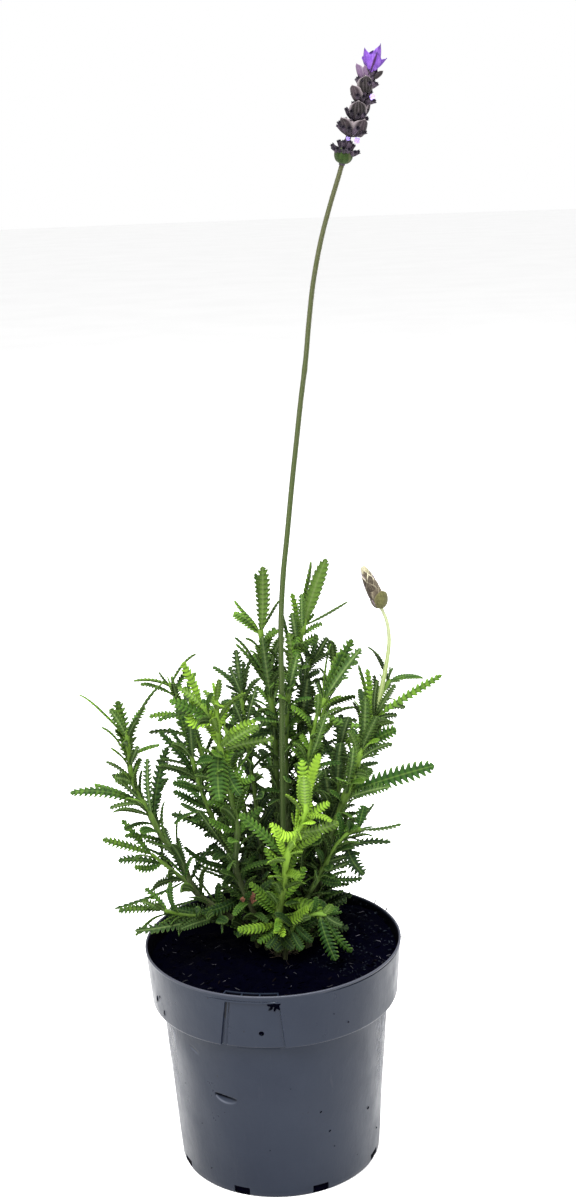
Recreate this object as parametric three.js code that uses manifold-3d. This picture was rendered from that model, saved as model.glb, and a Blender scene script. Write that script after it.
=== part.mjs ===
// A young toothed-leaf lavender in a plastic nursery pot.
// Millimetres, +Z up. The origin is the middle of the pot's flat underside, and -Y is the front.
// Stems and leaves are written as they look from the front: a point [x, z, depth] names the place on the
// upright plane y = 0 that it covers, seen from VIEWPOINT, and how far behind that plane it really is.

import * as THREE from 'three';
import * as BufferGeometryUtils from 'three/addons/utils/BufferGeometryUtils.js';
import Module from 'manifold-3d';

const wasm = await Module();
wasm.setup();

// ---------------------------------------------------------------- driving dimensions

const VIEWPOINT = new THREE.Vector3(15, -862, 533);

const POT = {
  height: 126, lipRadius: 71, collarFootRadius: 68, collarFootHeight: 95,
  bodyTopRadius: 62.5, baseRadius: 55.5, wall: 1.6, floor: 2.2, chamfer: 1.5, segments: 36,
  lip: { height: 0.8, outside: 0.4, inside: 0.3 },      // the bevel round the top of the wall
  ledge: { outside: 0.5, inside: 0.6 },                 // how much lower the body ends than the collar starts
};
const DRAIN = { count: 8, width: 9, height: 5, depth: 9 };
const PANEL = { from: -21.8, to: 1.6, foot: 98, top: 121.5, depth: 0.9 };    // degrees from the front
const POCKET = {
  from: -22.5, to: 2.4, foot: 100, belowTop: 0.9, depth: 4.4, overlap: 0.3, skin: 1.2,
  slots: 3, rib: 1.6, slotFoot: 103, slotInset: 0.6, spareTurn: 0.5,
};

const REACH = 90;                // past the pot's widest, for the wedges that cut it

const SOIL = { level: 117, gap: 0.3, ledgeDrop: 0.4, ledgeRise: 0.2, rings: 3, segments: 24, rim: 115.5 };
// Its lumps are waves of these heights, with this much turn in each millimetre.
const SOIL_LUMPS = {
  high: 0.9, turnX: 0.21, startX: 1.3, turnY: 0.17, startY: -0.4, low: 0.6, turnBoth: 0.37,
};
const SOIL_BANK = { x: 50, y: 32, height: 6.5, spread: 32 };      // it lies higher at the right and behind
const ROOT_DEPTH = 22;           // how deep a stem stands in the soil
const HOLE_SLACK = 1.1;          // room round a stem in its hole
const HOLE_LENGTH = 60;
const HOLE_SIDES = 5;
const GAP = 0.3;                 // between any two pieces

const CROWN = { x: 3, y: 12.5, radius: 3.8, top: 8, sides: 7, widestAt: 0.7, footShare: 0.8, tipShare: 0.6 };

const LEAF = {
  ridge: 1.2, notch: 0.58, toothEvery: 8.8, minTeeth: 2, maxTeeth: 4, bare: 0.9, tipShare: 0.55,
};
// The width of a blade is least + swell times this arc of a sine, from its foot to its tip.
const BLADE_ARC = { least: 0.42, swell: 0.58, from: 0.1, turn: 0.72 };
const STEM_SIDES = 5;
const TWIG_RINGS = 3;
const EXTRA_RINGS = 4;           // rings of a stem's root, beyond one for each point of its course

const COLOUR = {
  pot: 0x23262c, soil: 0x191310, wood: 0x4a3d2a, leaf: 0x3f6f22, brightLeaf: 0x7fae3a, darkLeaf: 0x24481a,
  stem: 0x6a6f3c, spike: 0x4d4152, greenBract: 0x4f6626, coma: 0x9a63d8, budStalk: 0xb9bd86,
  bud: 0x6d6150, budBract: 0x7d7a4a,
};

const WELD = 1e-4;               // points nearer than this are one

// ---------------------------------------------------------------- small tools

function seen(x, z, depth) {
  const onPlane = new THREE.Vector3(x, 0, z);
  return VIEWPOINT.clone().lerp(onPlane, (VIEWPOINT.y - depth) / VIEWPOINT.y);
}

// The point at a reach from foot that leans by an angle from along towards out.
function leaning(foot, out, along, angle, reach) {
  return foot.clone().addScaledVector(out, reach * Math.sin(angle))
    .addScaledVector(along, reach * Math.cos(angle));
}

function randomFrom(seed) {
  let state = seed >>> 0;
  return () => {
    state = (state + 0x6d2b79f5) >>> 0;
    let t = state;
    t = Math.imul(t ^ (t >>> 15), t | 1);
    t ^= t + Math.imul(t ^ (t >>> 7), t | 61);
    return ((t ^ (t >>> 14)) >>> 0) / 4294967296;
  };
}

function smoothCurve(points) {
  return new THREE.CatmullRomCurve3(points, false, 'centripetal');
}

function geometryFrom(points, triangles) {
  const geometry = new THREE.BufferGeometry().setFromPoints(points);
  geometry.setIndex(triangles.flat());
  return geometry;
}

function solidOf(geometry) {
  const bare = geometry.clone();
  bare.deleteAttribute('normal');
  bare.deleteAttribute('uv');
  const merged = BufferGeometryUtils.mergeVertices(bare, WELD);
  const vertProperties = new Float32Array(merged.attributes.position.array);
  const triVerts = new Uint32Array(merged.index.array);
  return new wasm.Manifold(new wasm.Mesh({ numProp: 3, vertProperties, triVerts }));
}

// Its largest body, with any sealed hollow inside it filled.
function largestBody(solid) {
  return solid.decompose().reduce((best, body) => (body.volume() > best.volume() ? body : best));
}

function joined(solids) {
  return largestBody(solids.reduce((whole, solid) => whole.add(solid)));
}

function meshOf(name, solid, colour, roughness) {
  const { vertProperties, triVerts } = largestBody(solid).getMesh();
  const geometry = new THREE.BufferGeometry();
  geometry.setAttribute('position', new THREE.BufferAttribute(new Float32Array(vertProperties), 3));
  geometry.setIndex(new THREE.BufferAttribute(new Uint32Array(triVerts), 1));
  geometry.computeVertexNormals();
  const mesh = new THREE.Mesh(geometry, new THREE.MeshStandardMaterial({ color: colour, roughness }));
  mesh.name = name;
  return mesh;
}

function turned(profile, segments) {
  const geometry = new THREE.LatheGeometry(profile.map(([r, z]) => new THREE.Vector2(r, z)), segments);
  return solidOf(geometry.rotateX(Math.PI / 2));
}

// A tapered stem of few sides along a curve.
function stemSolid(curve, footRadius, topRadius, segments, sides = STEM_SIDES) {
  const { normals, binormals } = curve.computeFrenetFrames(segments, false);
  const points = [];
  const triangles = [];
  for (let i = 0; i <= segments; i += 1) {
    const centre = curve.getPointAt(i / segments);
    const radius = THREE.MathUtils.lerp(footRadius, topRadius, i / segments);
    for (let j = 0; j < sides; j += 1) {
      const angle = (2 * Math.PI * j) / sides;
      points.push(centre.clone()
        .addScaledVector(normals[i], radius * Math.cos(angle))
        .addScaledVector(binormals[i], radius * Math.sin(angle)));
    }
  }
  for (let i = 0; i < segments; i += 1) {
    for (let j = 0; j < sides; j += 1) {
      const a = i * sides + j;
      const b = i * sides + ((j + 1) % sides);
      triangles.push([a, b, b + sides], [a, b + sides, a + sides]);
    }
  }
  const last = segments * sides;
  for (let j = 1; j < sides - 1; j += 1) {
    triangles.push([0, j + 1, j], [last, last + j, last + j + 1]);
  }
  return solidOf(geometryFrom(points, triangles));
}

// ---------------------------------------------------------------- one leaf

// Half the width of the blade along its length: narrow at the foot, 1 past the middle, blunt at the tip.
function bladeOutline(share) {
  return BLADE_ARC.least + BLADE_ARC.swell * Math.sin(Math.PI * (BLADE_ARC.from + BLADE_ARC.turn * share));
}

// A toothed blade, flat below and ridged along its rib above, on a bent rib from foot to tip.
// spare thickens it all round, to test for room.
function bladeSolid({ foot, bend, tip, width, across }, spare = 0) {
  const rib = new THREE.QuadraticBezierCurve3(foot, bend, tip);
  const wanted = Math.round(rib.getLength() / LEAF.toothEvery);
  const teeth = THREE.MathUtils.clamp(wanted, LEAF.minTeeth, LEAF.maxTeeth);
  const stations = 2 * teeth;
  const shareOf = (i) => (i + LEAF.bare) / (stations + LEAF.tipShare);
  const points = [];
  const triangles = [];
  const at = (share) => {
    const centre = rib.getPoint(share);
    const along = rib.getTangent(share);
    const side = across.clone().addScaledVector(along, -across.dot(along)).normalize();
    return { centre, side, face: new THREE.Vector3().crossVectors(side, along) };
  };
  const left = [];
  const right = [];
  for (let i = 0; i < stations; i += 1) {
    const share = shareOf(i);
    const notch = i % 2 === 0 ? LEAF.notch : 1;
    const half = (width / 2) * notch * bladeOutline(share) + spare;
    const { centre, side, face } = at(share);
    const floor = centre.clone().addScaledVector(face, -spare);
    left.push(points.push(floor.clone().addScaledVector(side, -half)) - 1);
    right.push(points.push(floor.clone().addScaledVector(side, half)) - 1);
  }
  const root = points.push(rib.getPoint(0)) - 1;
  const end = points.push(rib.getPoint(1)) - 1;
  const ridge = [];
  for (let k = 1; k < stations; k += 2) {
    const { centre, face } = at(shareOf(k));
    ridge.push(points.push(centre.clone().addScaledVector(face, LEAF.ridge + spare)) - 1);
  }
  triangles.push([root, left[0], right[0]], [end, right[stations - 1], left[stations - 1]]);
  for (let i = 0; i < stations - 1; i += 1) {
    triangles.push([left[i], right[i + 1], right[i]], [left[i], left[i + 1], right[i + 1]]);
  }
  triangles.push([root, ridge[0], left[0]], [root, right[0], ridge[0]]);
  ridge.forEach((top, k) => {
    const dip = 2 * k;
    const peak = dip + 1;
    triangles.push([top, left[peak], left[dip]], [top, right[dip], right[peak]]);
    if (k < teeth - 1) {
      triangles.push([top, left[peak + 1], left[peak]], [top, right[peak], right[peak + 1]]);
      triangles.push([top, ridge[k + 1], left[peak + 1]], [top, right[peak + 1], ridge[k + 1]]);
    } else {
      triangles.push([top, end, left[peak]], [top, right[peak], end]);
    }
  });
  return solidOf(geometryFrom(points, triangles));
}

// ---------------------------------------------------------------- the leafy stems

// foot: [x, y] where the stem leaves the soil. radius: at the foot and at the top.
// branches: a course of [x, z, depth] points, and its leaves as
// [foot x, foot z, tip x, tip z, tip depth, width, turn, bow]: turn is how far the blade is turned from
// facing the front, in degrees, and bow how far its rib bulges to the left of its way, as a share of its
// length.
// grown: how many leaves the rule below adds on the sides that those leave bare.

const LEAFY_STEMS = {
  left_outer: {
    foot: [-9, 8], radius: [1.9, 1.1], colour: COLOUR.leaf, grown: 2, branches: [
      {
        course: [[-17, 134, 5], [-26, 141, 2], [-35, 148, 0], [-42, 155, -2], [-48, 173, -3], [-58, 187, -3],
          [-65, 203, -3], [-70, 213, -2], [-72.5, 223, -1], [-73, 234, 0], [-73.5, 248, 0]],
        leaves: [
          [-73, 240, -96.4, 270.3, -4, 5, 75, 0.15], [-73, 240, -53.5, 274, 4, 5, 75, -0.18],
          [-73, 228, -77, 265, 9, 9, 10, 0], [-73.5, 243, -82, 260.5, -7, 6, 20, 0.05],
          [-73.4, 243, -66.5, 256, -6, 5, 30, -0.1], [-72, 227, -68, 239.5, -8, 4.5, 20, -0.05],
          [-71.5, 219, -82, 222, -10, 8, 10, 0.1], [-66, 204, -106, 215, -3, 6.8, 35, 0.17],
          [-66, 204, -92.5, 219, 7, 5.5, 45, 0.08], [-67, 206, -83.5, 223.5, -9, 4.5, 30, 0.05],
          [-62.5, 198, -64, 233, -9, 5.5, 20, -0.03], [-62, 196, -52.5, 238, 6, 7.4, 0, -0.08],
        ],
      },
      {
        course: [[-43.5, 158, -2], [-54, 168, -4], [-64, 177, -6]], radius: [1.2, 0.8],
        leaves: [
          [-63, 177, -90, 187, -9, 6, 30, 0.05], [-63, 177, -78, 198, -2, 5.5, 20, -0.05],
          [-58, 172, -73.4, 170.5, -15, 5, 20, -0.25], [-47, 161, -86, 148, -12, 5, 65, -0.12],
        ],
      },
      {
        course: [[-23, 138, 3], [-36, 140, -4], [-47, 140.5, -9], [-59, 144, -14]], radius: [1.2, 0.8],
        leaves: [
          [-58, 143.5, -71, 150, -19, 5, 10, 0], [-57, 143, -68.6, 157.5, -8, 5, 20, 0.08],
          [-59, 144, -84, 145, -20, 5.5, 15, 0.1], [-35, 139.5, -75.6, 132.5, -34, 6, 20, -0.08],
          [-29, 139, -51, 132, -30, 5, 10, 0.05],
        ],
      },
    ],
  },
  left_middle: {
    foot: [-7, 15.5], radius: [1.7, 1], colour: COLOUR.leaf, grown: 2, branches: [{
      course: [[-12, 146, 14], [-18, 166, 10], [-25, 184, 6], [-32, 202, 4], [-37, 220, 2], [-41, 240, 0]],
      leaves: [
        [-37, 219, -55, 247, -4, 5.5, 20, 0.05], [-35, 211, -50, 217.5, -12, 5.5, 10, 0.1],
        [-32, 201, -50, 213, -2, 6, 20, 0], [-25, 183, -51.5, 200.6, 0, 6, 25, 0.1],
        [-19, 168, -45.6, 181, -8, 5.5, 50, -0.22], [-22, 176, -38.7, 202, -14, 5.5, 15, 0],
        [-14, 152, -38.5, 142, -8, 7, 10, -0.15], [-38, 226, -50.6, 249, 8, 5, 65, 0.1],
        [-39, 230, -39.6, 252, -9, 6.5, 10, 0], [-41, 239, -46, 262, 3, 6, 10, 0],
      ],
    }],
  },
  centre_left: {
    foot: [-3.5, 3.5], radius: [1.7, 1.1], colour: COLOUR.brightLeaf, grown: 1, branches: [
      {
        course: [[-12, 146, -2], [-18.5, 166, -7], [-17, 190, -11], [-20, 212, -13], [-24, 235, -13],
          [-25, 250, -13], [-25, 263, -13]],
        leaves: [
          [-25, 252, -36, 265, -14, 6, 20, -1.25], [-25, 250, -49.4, 264, -22, 6.8, 15, 0.08],
          [-25, 259, -31.4, 269, -4, 4, 20, 0.1], [-24.5, 236, -3, 248.6, -24, 6.5, 20, -0.06],
          [-24, 235, 5, 241, -15, 6, 30, -0.05], [-24.5, 237, -25.6, 206.6, -29, 12, 0, 0.08],
          [-23, 231, -14.5, 209, -20, 9, 15, 0.1], [-21, 217, -6.6, 219, -18, 5, 15, 0.1],
          [-18, 165, -23, 176, -15, 4, 10, 0.1], [-25, 262, -23.5, 275, -13, 5, 30, 0],
          [-17, 188, -32, 196, -18, 5, 30, -0.1], [-17, 186, -3, 201, -13, 6, 15, -0.1],
        ],
      },
      {
        course: [[-25, 248, -13], [-30, 256, -15], [-33.4, 261, -16]], radius: [0.9, 0.7],
        leaves: [[-33, 260, -41.6, 284.7, -17, 6, 15, 0.04], [-33, 260, -45, 271, -22, 5, 25, 0.08]],
      },
    ],
  },
  centre: {
    foot: [-0.5, 21], radius: [1.6, 0.9], colour: COLOUR.darkLeaf, grown: 3, branches: [{
      course: [[-3, 160, 14], [-6, 200, 8], [-9, 235, 4], [-11, 258, 2], [-12, 269, 2]],
      leaves: [
        [-11.5, 262, -13.5, 291, 0, 6.5, 10, 0], [-11.5, 264, -17.5, 281.5, -5, 5, 15, 0.06],
        [-11.7, 266, -22.5, 280, 5, 4, 70, 0.05], [-10.5, 255, -9.2, 284, 9, 5, 5, -0.05],
        [-10, 246, -3, 270.5, -5, 5, 0, -0.05], [-11, 260, -5.5, 287, 4, 4, 60, -0.1],
        [-9, 236, -16, 262, -6, 6, 10, 0.05], [-8.5, 230, 0, 252, -3, 6, 10, -0.08],
      ],
    }],
  },
  tall_left: {
    foot: [4.5, 25], radius: [1.8, 1.1], colour: COLOUR.leaf, grown: 3, branches: [{
      course: [[5, 165, 18], [5, 205, 12], [5.5, 240, 7], [4, 262, 5], [1, 285, 4], [0, 301, 3]],
      leaves: [
        [0, 300, 2, 335.5, 0, 8, 10, 0.04], [0, 299, -1.5, 331.5, 8, 6, 45, 0.1],
        [0, 299, -12.5, 317.5, 3, 5, 75, 0.02], [0.5, 299, 10, 317, 9, 4.5, 75, -0.04],
        [4.5, 259, 0.5, 298, -4, 7, 0, 0], [2.6, 273, -12.5, 298, -3, 4.5, 70, 0.05],
        [3, 268, -13, 294, 10, 4.5, 60, 0.08], [4, 263, 8.5, 284, 9, 5, 20, -0.05],
        [2.5, 275, -4.5, 288, 12, 5, 20, 0.05],
      ],
    }],
  },
  tall_right: {
    foot: [11, 18.5], radius: [1.8, 1.1], colour: COLOUR.leaf, grown: 2, branches: [{
      course: [[11, 165, 12], [10.5, 205, 7], [11, 240, 3], [13, 262, 1], [17, 282, 1], [22, 300, 1],
        [23.5, 306, 1]],
      leaves: [
        [22.5, 302, 35.5, 338, -2, 7.8, 15, -0.04], [23, 304, 29, 336, 7, 6, 65, -0.06],
        [23, 303, 46, 314.5, 1, 5, 75, 0.05], [20, 294, 17.5, 320, 3, 4.5, 30, 0.05],
        [21.5, 299, 22, 320, -7, 4.5, 10, 0], [23, 303, 24.8, 320, 3, 4, 20, 0],
        [18, 287, 16.5, 310, -7, 6.5, 0, 0.06], [16, 279, 12, 313, 7, 4.5, 70, 0.04],
        [13, 262, 19, 287.5, -10, 6.5, 10, -0.03], [14, 268, 14.5, 299, -4, 7, 5, 0.1],
        [22.5, 301, 19, 284, -10, 5.5, 20, 0.3],
      ],
    }],
  },
  dark_right: {
    foot: [16, 26], radius: [1.6, 0.9], colour: COLOUR.darkLeaf, grown: 3, branches: [{
      course: [[17, 165, 22], [17.5, 205, 18], [18, 240, 15], [20, 262, 13], [23, 275, 13], [27, 284, 13]],
      leaves: [
        [25, 280, 35, 295.5, 11, 6.5, 10, 0], [25, 280, 36, 287.5, 4, 4.5, 20, -0.1],
        [21, 266, 24, 285.5, 6, 4.5, 20, 0], [24, 278, 29.5, 262, 6, 4.5, 35, 0.3],
        [18.5, 246, 24, 274, 3, 11, 0, 0.03], [22, 270, 38, 273.5, 9, 4, 55, -0.1],
        [18, 240, 27, 262, 22, 7, 10, -0.05],
      ],
    }],
  },
  right_middle: {
    foot: [13.5, 9.5], radius: [1.6, 0.9], colour: COLOUR.leaf, grown: 1, branches: [{
      course: [[17, 160, 4], [20, 195, 0], [22, 222, -2], [26, 244, -3], [29, 255, -3], [33, 262, -3]],
      leaves: [
        [32, 260, 48, 293.5, -3, 7.5, 15, -0.04], [32.5, 261, 52.5, 289, -9, 7, 25, -0.06],
        [32.5, 261, 42, 287, 4, 5, 30, -0.03], [32.5, 261, 37.5, 291.5, 9, 4.5, 75, -0.12],
        [22.5, 226, 33, 254.5, -12, 5, 20, 0.03], [22, 224, 12, 250, 6, 6.5, 20, 0.05],
        [25, 240, 38, 250.5, 4, 4.5, 40, 0.08], [21, 208, 30, 222, -8, 6, 15, -0.1],
      ],
    }],
  },
  right_outer: {
    foot: [19, 3.5], radius: [2.2, 1.4], colour: COLOUR.leaf, grown: 2, branches: [{
      course: [[24, 150, 3], [31, 175, 0], [37, 193, -2], [42, 206, -4], [47, 220, -4], [51, 231, -4],
        [56, 243, -4], [59, 251, -4]],
      leaves: [
        [43, 208, 90, 222, -10, 10.8, 5, -0.02], [41.5, 205, 66, 211, -15, 6, 15, -0.07],
        [58.5, 250, 95.5, 272.5, -6, 5.5, 15, -0.02], [58.5, 250, 70.5, 269.5, -13, 4.5, 20, -0.03],
        [58, 249, 59.5, 272, -13, 5, 55, 0], [56.5, 245, 55.5, 277.5, -1, 5, 30, 0.08],
        [56, 244, 52, 280, 6, 4.5, 65, 0.06], [51.5, 232, 54, 262, -9, 7.5, 15, 0.05],
        [51, 231, 60.5, 252, -15, 6.5, 10, -0.03], [57.5, 247, 33, 254.5, 5, 6, 45, -0.28],
        [55, 241, 40, 240, 7, 5, 40, -0.18], [51.5, 232, 70, 243, -7, 8.5, 5, -0.12],
        [49, 225, 68, 235.5, -13, 5.5, 20, -0.2], [46.5, 218, 54, 223.5, -9, 4.5, 20, -0.1],
        [37.5, 194, 46, 205, -12, 4, 70, 0], [42, 206, 47, 234.5, -11, 5.5, 15, 0.03],
      ],
    }],
  },
  right_low: {
    foot: [12, 0], radius: [1.6, 0.9], colour: COLOUR.leaf, grown: 1, branches: [{
      course: [[18, 145, -3], [26, 160, -6], [32, 171, -8], [38, 180, -10], [44, 185.5, -12],
        [50, 187.5, -12]],
      leaves: [
        [48, 187, 52, 200.5, -12, 6.5, 20, 0], [49, 187.5, 57.5, 201.5, -8, 4.5, 75, -0.06],
        [49, 187.5, 71.5, 190, -14, 4.5, 65, 0.14], [42, 184, 51, 160.5, -22, 9, 10, 0.22],
        [34, 174, 66, 178, -4, 5.5, 35, -0.15], [31, 169, 49, 174, -14, 5.5, 30, -0.04],
        [28, 163, 47, 171, -9, 5, 40, 0.08], [26, 160, 38, 156.5, -14, 5.5, 20, 0.2],
        [27, 161, 50, 158.5, -6, 5.5, 20, 0.12],
      ],
    }],
  },
  right_centre: {
    foot: [21.5, 13], radius: [1.6, 1], colour: COLOUR.darkLeaf, grown: 2, branches: [{
      course: [[25, 150, 10], [28, 172, 6], [33, 190, 4], [36, 205, 3], [39, 220, 2], [40, 236, 2]],
      leaves: [
        [33.5, 192, 31, 223, -8, 9.5, 0, 0.05], [37.5, 213, 40, 237.5, -7, 9.5, 5, 0],
        [39, 222, 41, 253, 4, 8.5, 5, 0], [40, 234, 45, 251.5, -6, 6.5, 20, -0.04],
        [38, 216, 31, 242, 9, 5.5, 40, 0.06], [28, 172, 23.5, 193, -4, 6, 15, 0.08],
        [31, 184, 37, 203, -9, 5.5, 10, -0.08],
      ],
    }],
  },
  front: {
    foot: [2.5, -4], radius: [1.9, 1.2], colour: COLOUR.brightLeaf, grown: 1, branches: [{
      course: [[4, 142.5, -10], [6.5, 154, -15], [8, 164, -19], [9, 172, -22], [11.7, 180, -25],
        [16.4, 189, -28], [20, 197, -30], [20.5, 204, -31]],
      leaves: [
        [20, 199, 20, 219, -39, 8.5, 0, 0], [20, 200, 19.5, 228, -23, 6.5, 10, 0],
        [20.5, 203, 29, 231, -30, 6, 20, -0.05], [9, 172, -15, 198, -31, 6.6, 15, 0.05],
        [9, 171, 4, 190, -31, 4.5, 20, 0], [15.5, 187, 38, 192, -39, 6.5, 20, 0.12],
        [12.5, 182, 28, 188.5, -33, 5.5, 30, 0.05], [9.5, 174, 28, 184.5, -26, 5.5, 30, -0.05],
        [16, 188, 2, 190, -25, 6.5, 15, -0.55], [4, 141, -11.4, 158, -19, 5.5, 20, 0.05],
        [3.5, 138, -8, 150.5, -13, 5.5, 20, 0.05], [4.2, 143, -0.5, 162.5, -9, 4.5, 30, 0.02],
        [5, 146, 18.8, 166, -17, 6, 15, 0.06], [3, 134, -18.4, 131.6, -24, 6, 10, -0.08],
        [3, 133, -8.5, 123, -18, 5.5, 10, -0.1],
      ],
    }],
  },
  front_low: {
    foot: [6.5, -9.5], radius: [1.4, 0.9], colour: COLOUR.leaf, grown: 0, branches: [{
      course: [[11, 131, -15], [16, 136, -18], [23, 138.5, -21], [30, 138, -23]],
      leaves: [
        [9.5, 129, 28, 146, -15, 13, 5, 0.12], [28, 138.2, 33, 144, -27, 5, 10, 0.15],
        [29, 138.2, 38.5, 131.5, -27, 5, 20, 0.15], [28.5, 138.2, 43, 114.5, -27, 6, 15, 0.12],
        [26, 138.4, 34, 110, -30, 8, 10, 0.06], [13, 133, 21.5, 122, -22, 6, 10, 0.1],
      ],
    }],
  },
};

// The stems that the front hides: feet on an arc behind the crown, each leaning out its own way.
const BACK = {
  stems: 5, fromBearing: 22, toBearing: 158, arc: [3, 25], arcRadius: [18, 12], lean: [10, 24],
  length: [112, 165], radius: [1.7, 0.9], rings: 7, leaves: 10, colour: COLOUR.leaf,
  parts: [0.25, 0.5, 0.75, 1], uprightFoot: 0.6, seed: 2024,
};

// How a leaf grows by rule: in pairs, each pair across the last, arching up and out.
const GROWN = {
  shares: [0.3, 0.985], onlyShare: 0.6, length: [22, 36], shorterAtTop: 0.25, width: [5.5, 8],
  angle: [40, 66], arch: 0.16, jitter: 20, seed: 100, firstBearing: 60,
  backSeed: 200, backBearing: { first: 30, step: 40 },
  tries: [[0, 1], [18, 1], [-18, 1], [36, 1], [-36, 1], [0, 0.7], [54, 0.8], [-54, 0.8], [80, 0.7],
    [-80, 0.7]],
};
const READ_TRIES = [0, 3, -3, 6, -6, 9, -9, 12, -12, 16, -16, 20, -20];

function stemCurve(footXY, course) {
  const [x, y] = footXY;
  const rooted = [-ROOT_DEPTH, -9, 3].map((rise) => new THREE.Vector3(x, y, SOIL.level + rise));
  return smoothCurve([...rooted, ...course]);
}

function nearestOn(curve, target) {
  let best = null;
  for (let i = 0; i <= 120; i += 1) {
    const point = curve.getPointAt(i / 120);
    const away = Math.hypot(point.x - target.x, point.z - target.z);
    if (best === null || away < best.away) best = { point, away };
  }
  return best.point;
}

function readLeaf(curve, [footX, footZ, tipX, tipZ, depth, width, turn, bow], shift) {
  // The foot is the place on the stem that the reading covers.
  let foot = seen(footX, footZ, 0);
  for (let pass = 0; pass < 3; pass += 1) {
    foot = nearestOn(curve, foot);
    if (pass < 2) foot = seen(footX, footZ, foot.y);
  }
  const tip = seen(tipX, tipZ, depth + shift);
  const way = tip.clone().sub(foot);
  const sight = foot.clone().add(tip).multiplyScalar(0.5).sub(VIEWPOINT).normalize();
  const bulge = new THREE.Vector3().crossVectors(way, sight).negate();
  const bend = foot.clone().add(tip).multiplyScalar(0.5).addScaledVector(bulge, bow);
  const across = new THREE.Vector3().crossVectors(way, sight).normalize();
  across.applyAxisAngle(way.clone().normalize(), THREE.MathUtils.degToRad(turn));
  return { foot, bend, tip, width, across };
}

function grownLeaf(curve, share, bearing, length, width, angle, [swing, shrink]) {
  const foot = curve.getPointAt(share);
  const along = curve.getTangentAt(share);
  const turn = THREE.MathUtils.degToRad(bearing + swing);
  const out = new THREE.Vector3(Math.cos(turn), Math.sin(turn), 0);
  out.addScaledVector(along, -out.dot(along)).normalize();
  const lean = THREE.MathUtils.degToRad(angle);
  const reach = length * shrink;
  const tip = leaning(foot, out, along, lean, reach);
  const bend = foot.clone().add(tip).multiplyScalar(0.5)
    .addScaledVector(along, reach * GROWN.arch).addScaledVector(out, -reach * GROWN.arch * 0.5);
  const across = new THREE.Vector3().crossVectors(along, out).normalize();
  return { foot, bend, tip, width, across };
}

// ---------------------------------------------------------------- placing without crossings

const placed = [];            // every solid so far, with its piece's name and box

function keep(owner, solid) {
  placed.push({ owner, solid, box: solid.boundingBox() });
}

function boxesMeet(a, b) {
  return [0, 1, 2].every((i) => a.min[i] <= b.max[i] && b.min[i] <= a.max[i]);
}

function hasRoom(owner, solid) {
  const box = solid.boundingBox();
  return placed.every((other) => other.owner === owner || !boxesMeet(box, other.box)
    || solid.intersect(other.solid).isEmpty());
}

function placeLeaf(owner, candidates) {
  for (const leaf of candidates) {
    if (hasRoom(owner, bladeSolid(leaf, GAP))) {
      const blade = bladeSolid(leaf);
      keep(owner, blade);
      return blade;
    }
  }
  return null;
}

// ---------------------------------------------------------------- pot and soil

// A wedge of the round between two bearings, measured from the front towards +X.
function sector(from, to, foot, top) {
  const point = (degrees) => {
    const angle = THREE.MathUtils.degToRad(degrees - 90);
    return new THREE.Vector2(REACH * Math.cos(angle), REACH * Math.sin(angle));
  };
  const shape = new THREE.Shape([new THREE.Vector2(0, 0), point(from), point(to)]);
  const geometry = new THREE.ExtrudeGeometry(shape, { depth: top - foot, bevelEnabled: false });
  return solidOf(geometry.translate(0, 0, foot));
}

// The collar's outer radius at a height.
function collarRadius(z) {
  const share = (z - POT.collarFootHeight) / (POT.height - POT.collarFootHeight);
  return THREE.MathUtils.lerp(POT.collarFootRadius, POT.lipRadius, share);
}

function collarBand(outerInset, innerInset, foot, top) {
  return turned([
    [collarRadius(foot) - outerInset, foot], [collarRadius(top) - outerInset, top],
    [collarRadius(top) - innerInset, top], [collarRadius(foot) - innerInset, foot],
    [collarRadius(foot) - outerInset, foot],
  ], POT.segments);
}

function potSolid() {
  const { height, lipRadius, collarFootRadius, collarFootHeight, lip, ledge } = POT;
  const { bodyTopRadius, baseRadius, wall, floor } = POT;
  let pot = turned([
    [0, 0], [baseRadius - POT.chamfer, 0], [baseRadius, POT.chamfer],
    [bodyTopRadius, collarFootHeight - ledge.outside], [collarFootRadius, collarFootHeight],
    [lipRadius, height - lip.height], [lipRadius - lip.outside, height],
    [lipRadius - wall + lip.inside, height], [lipRadius - wall, height - lip.height],
    [collarFootRadius - wall, collarFootHeight + wall],
    [bodyTopRadius - wall, collarFootHeight + wall - ledge.inside], [baseRadius - wall, floor], [0, floor],
  ], POT.segments);
  const pocketTop = height - POCKET.belowTop;
  const pocketBand = collarBand(wall - POCKET.overlap, POCKET.depth + wall, POCKET.foot, pocketTop);
  pot = pot.add(pocketBand.intersect(sector(POCKET.from, POCKET.to, POCKET.foot - 1, height)));
  const step = (POCKET.to - POCKET.from) / POCKET.slots;
  const rib = THREE.MathUtils.radToDeg(POCKET.rib / lipRadius);
  const slotBack = POCKET.depth + wall - POCKET.skin;
  const slotBand = collarBand(wall + POCKET.slotInset, slotBack, POCKET.slotFoot, height + 1);
  for (let i = 0; i < POCKET.slots; i += 1) {
    const from = POCKET.from + i * step + rib / 2;
    pot = pot.subtract(slotBand.intersect(sector(from, from + step - rib, POCKET.foot, height + 1)));
  }
  const panelBand = collarBand(collarRadius(PANEL.top) - REACH, PANEL.depth, PANEL.foot, PANEL.top);
  pot = pot.subtract(panelBand.intersect(sector(PANEL.from, PANEL.to, PANEL.foot - 1, PANEL.top + 1)));
  for (let i = 0; i < DRAIN.count; i += 1) {
    const slot = new THREE.BoxGeometry(DRAIN.depth, DRAIN.width, DRAIN.height * 2);
    slot.translate(baseRadius, 0, 0).rotateZ((2 * Math.PI * (i + 0.5)) / DRAIN.count);
    pot = pot.subtract(solidOf(slot));
  }
  return pot;
}

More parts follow.
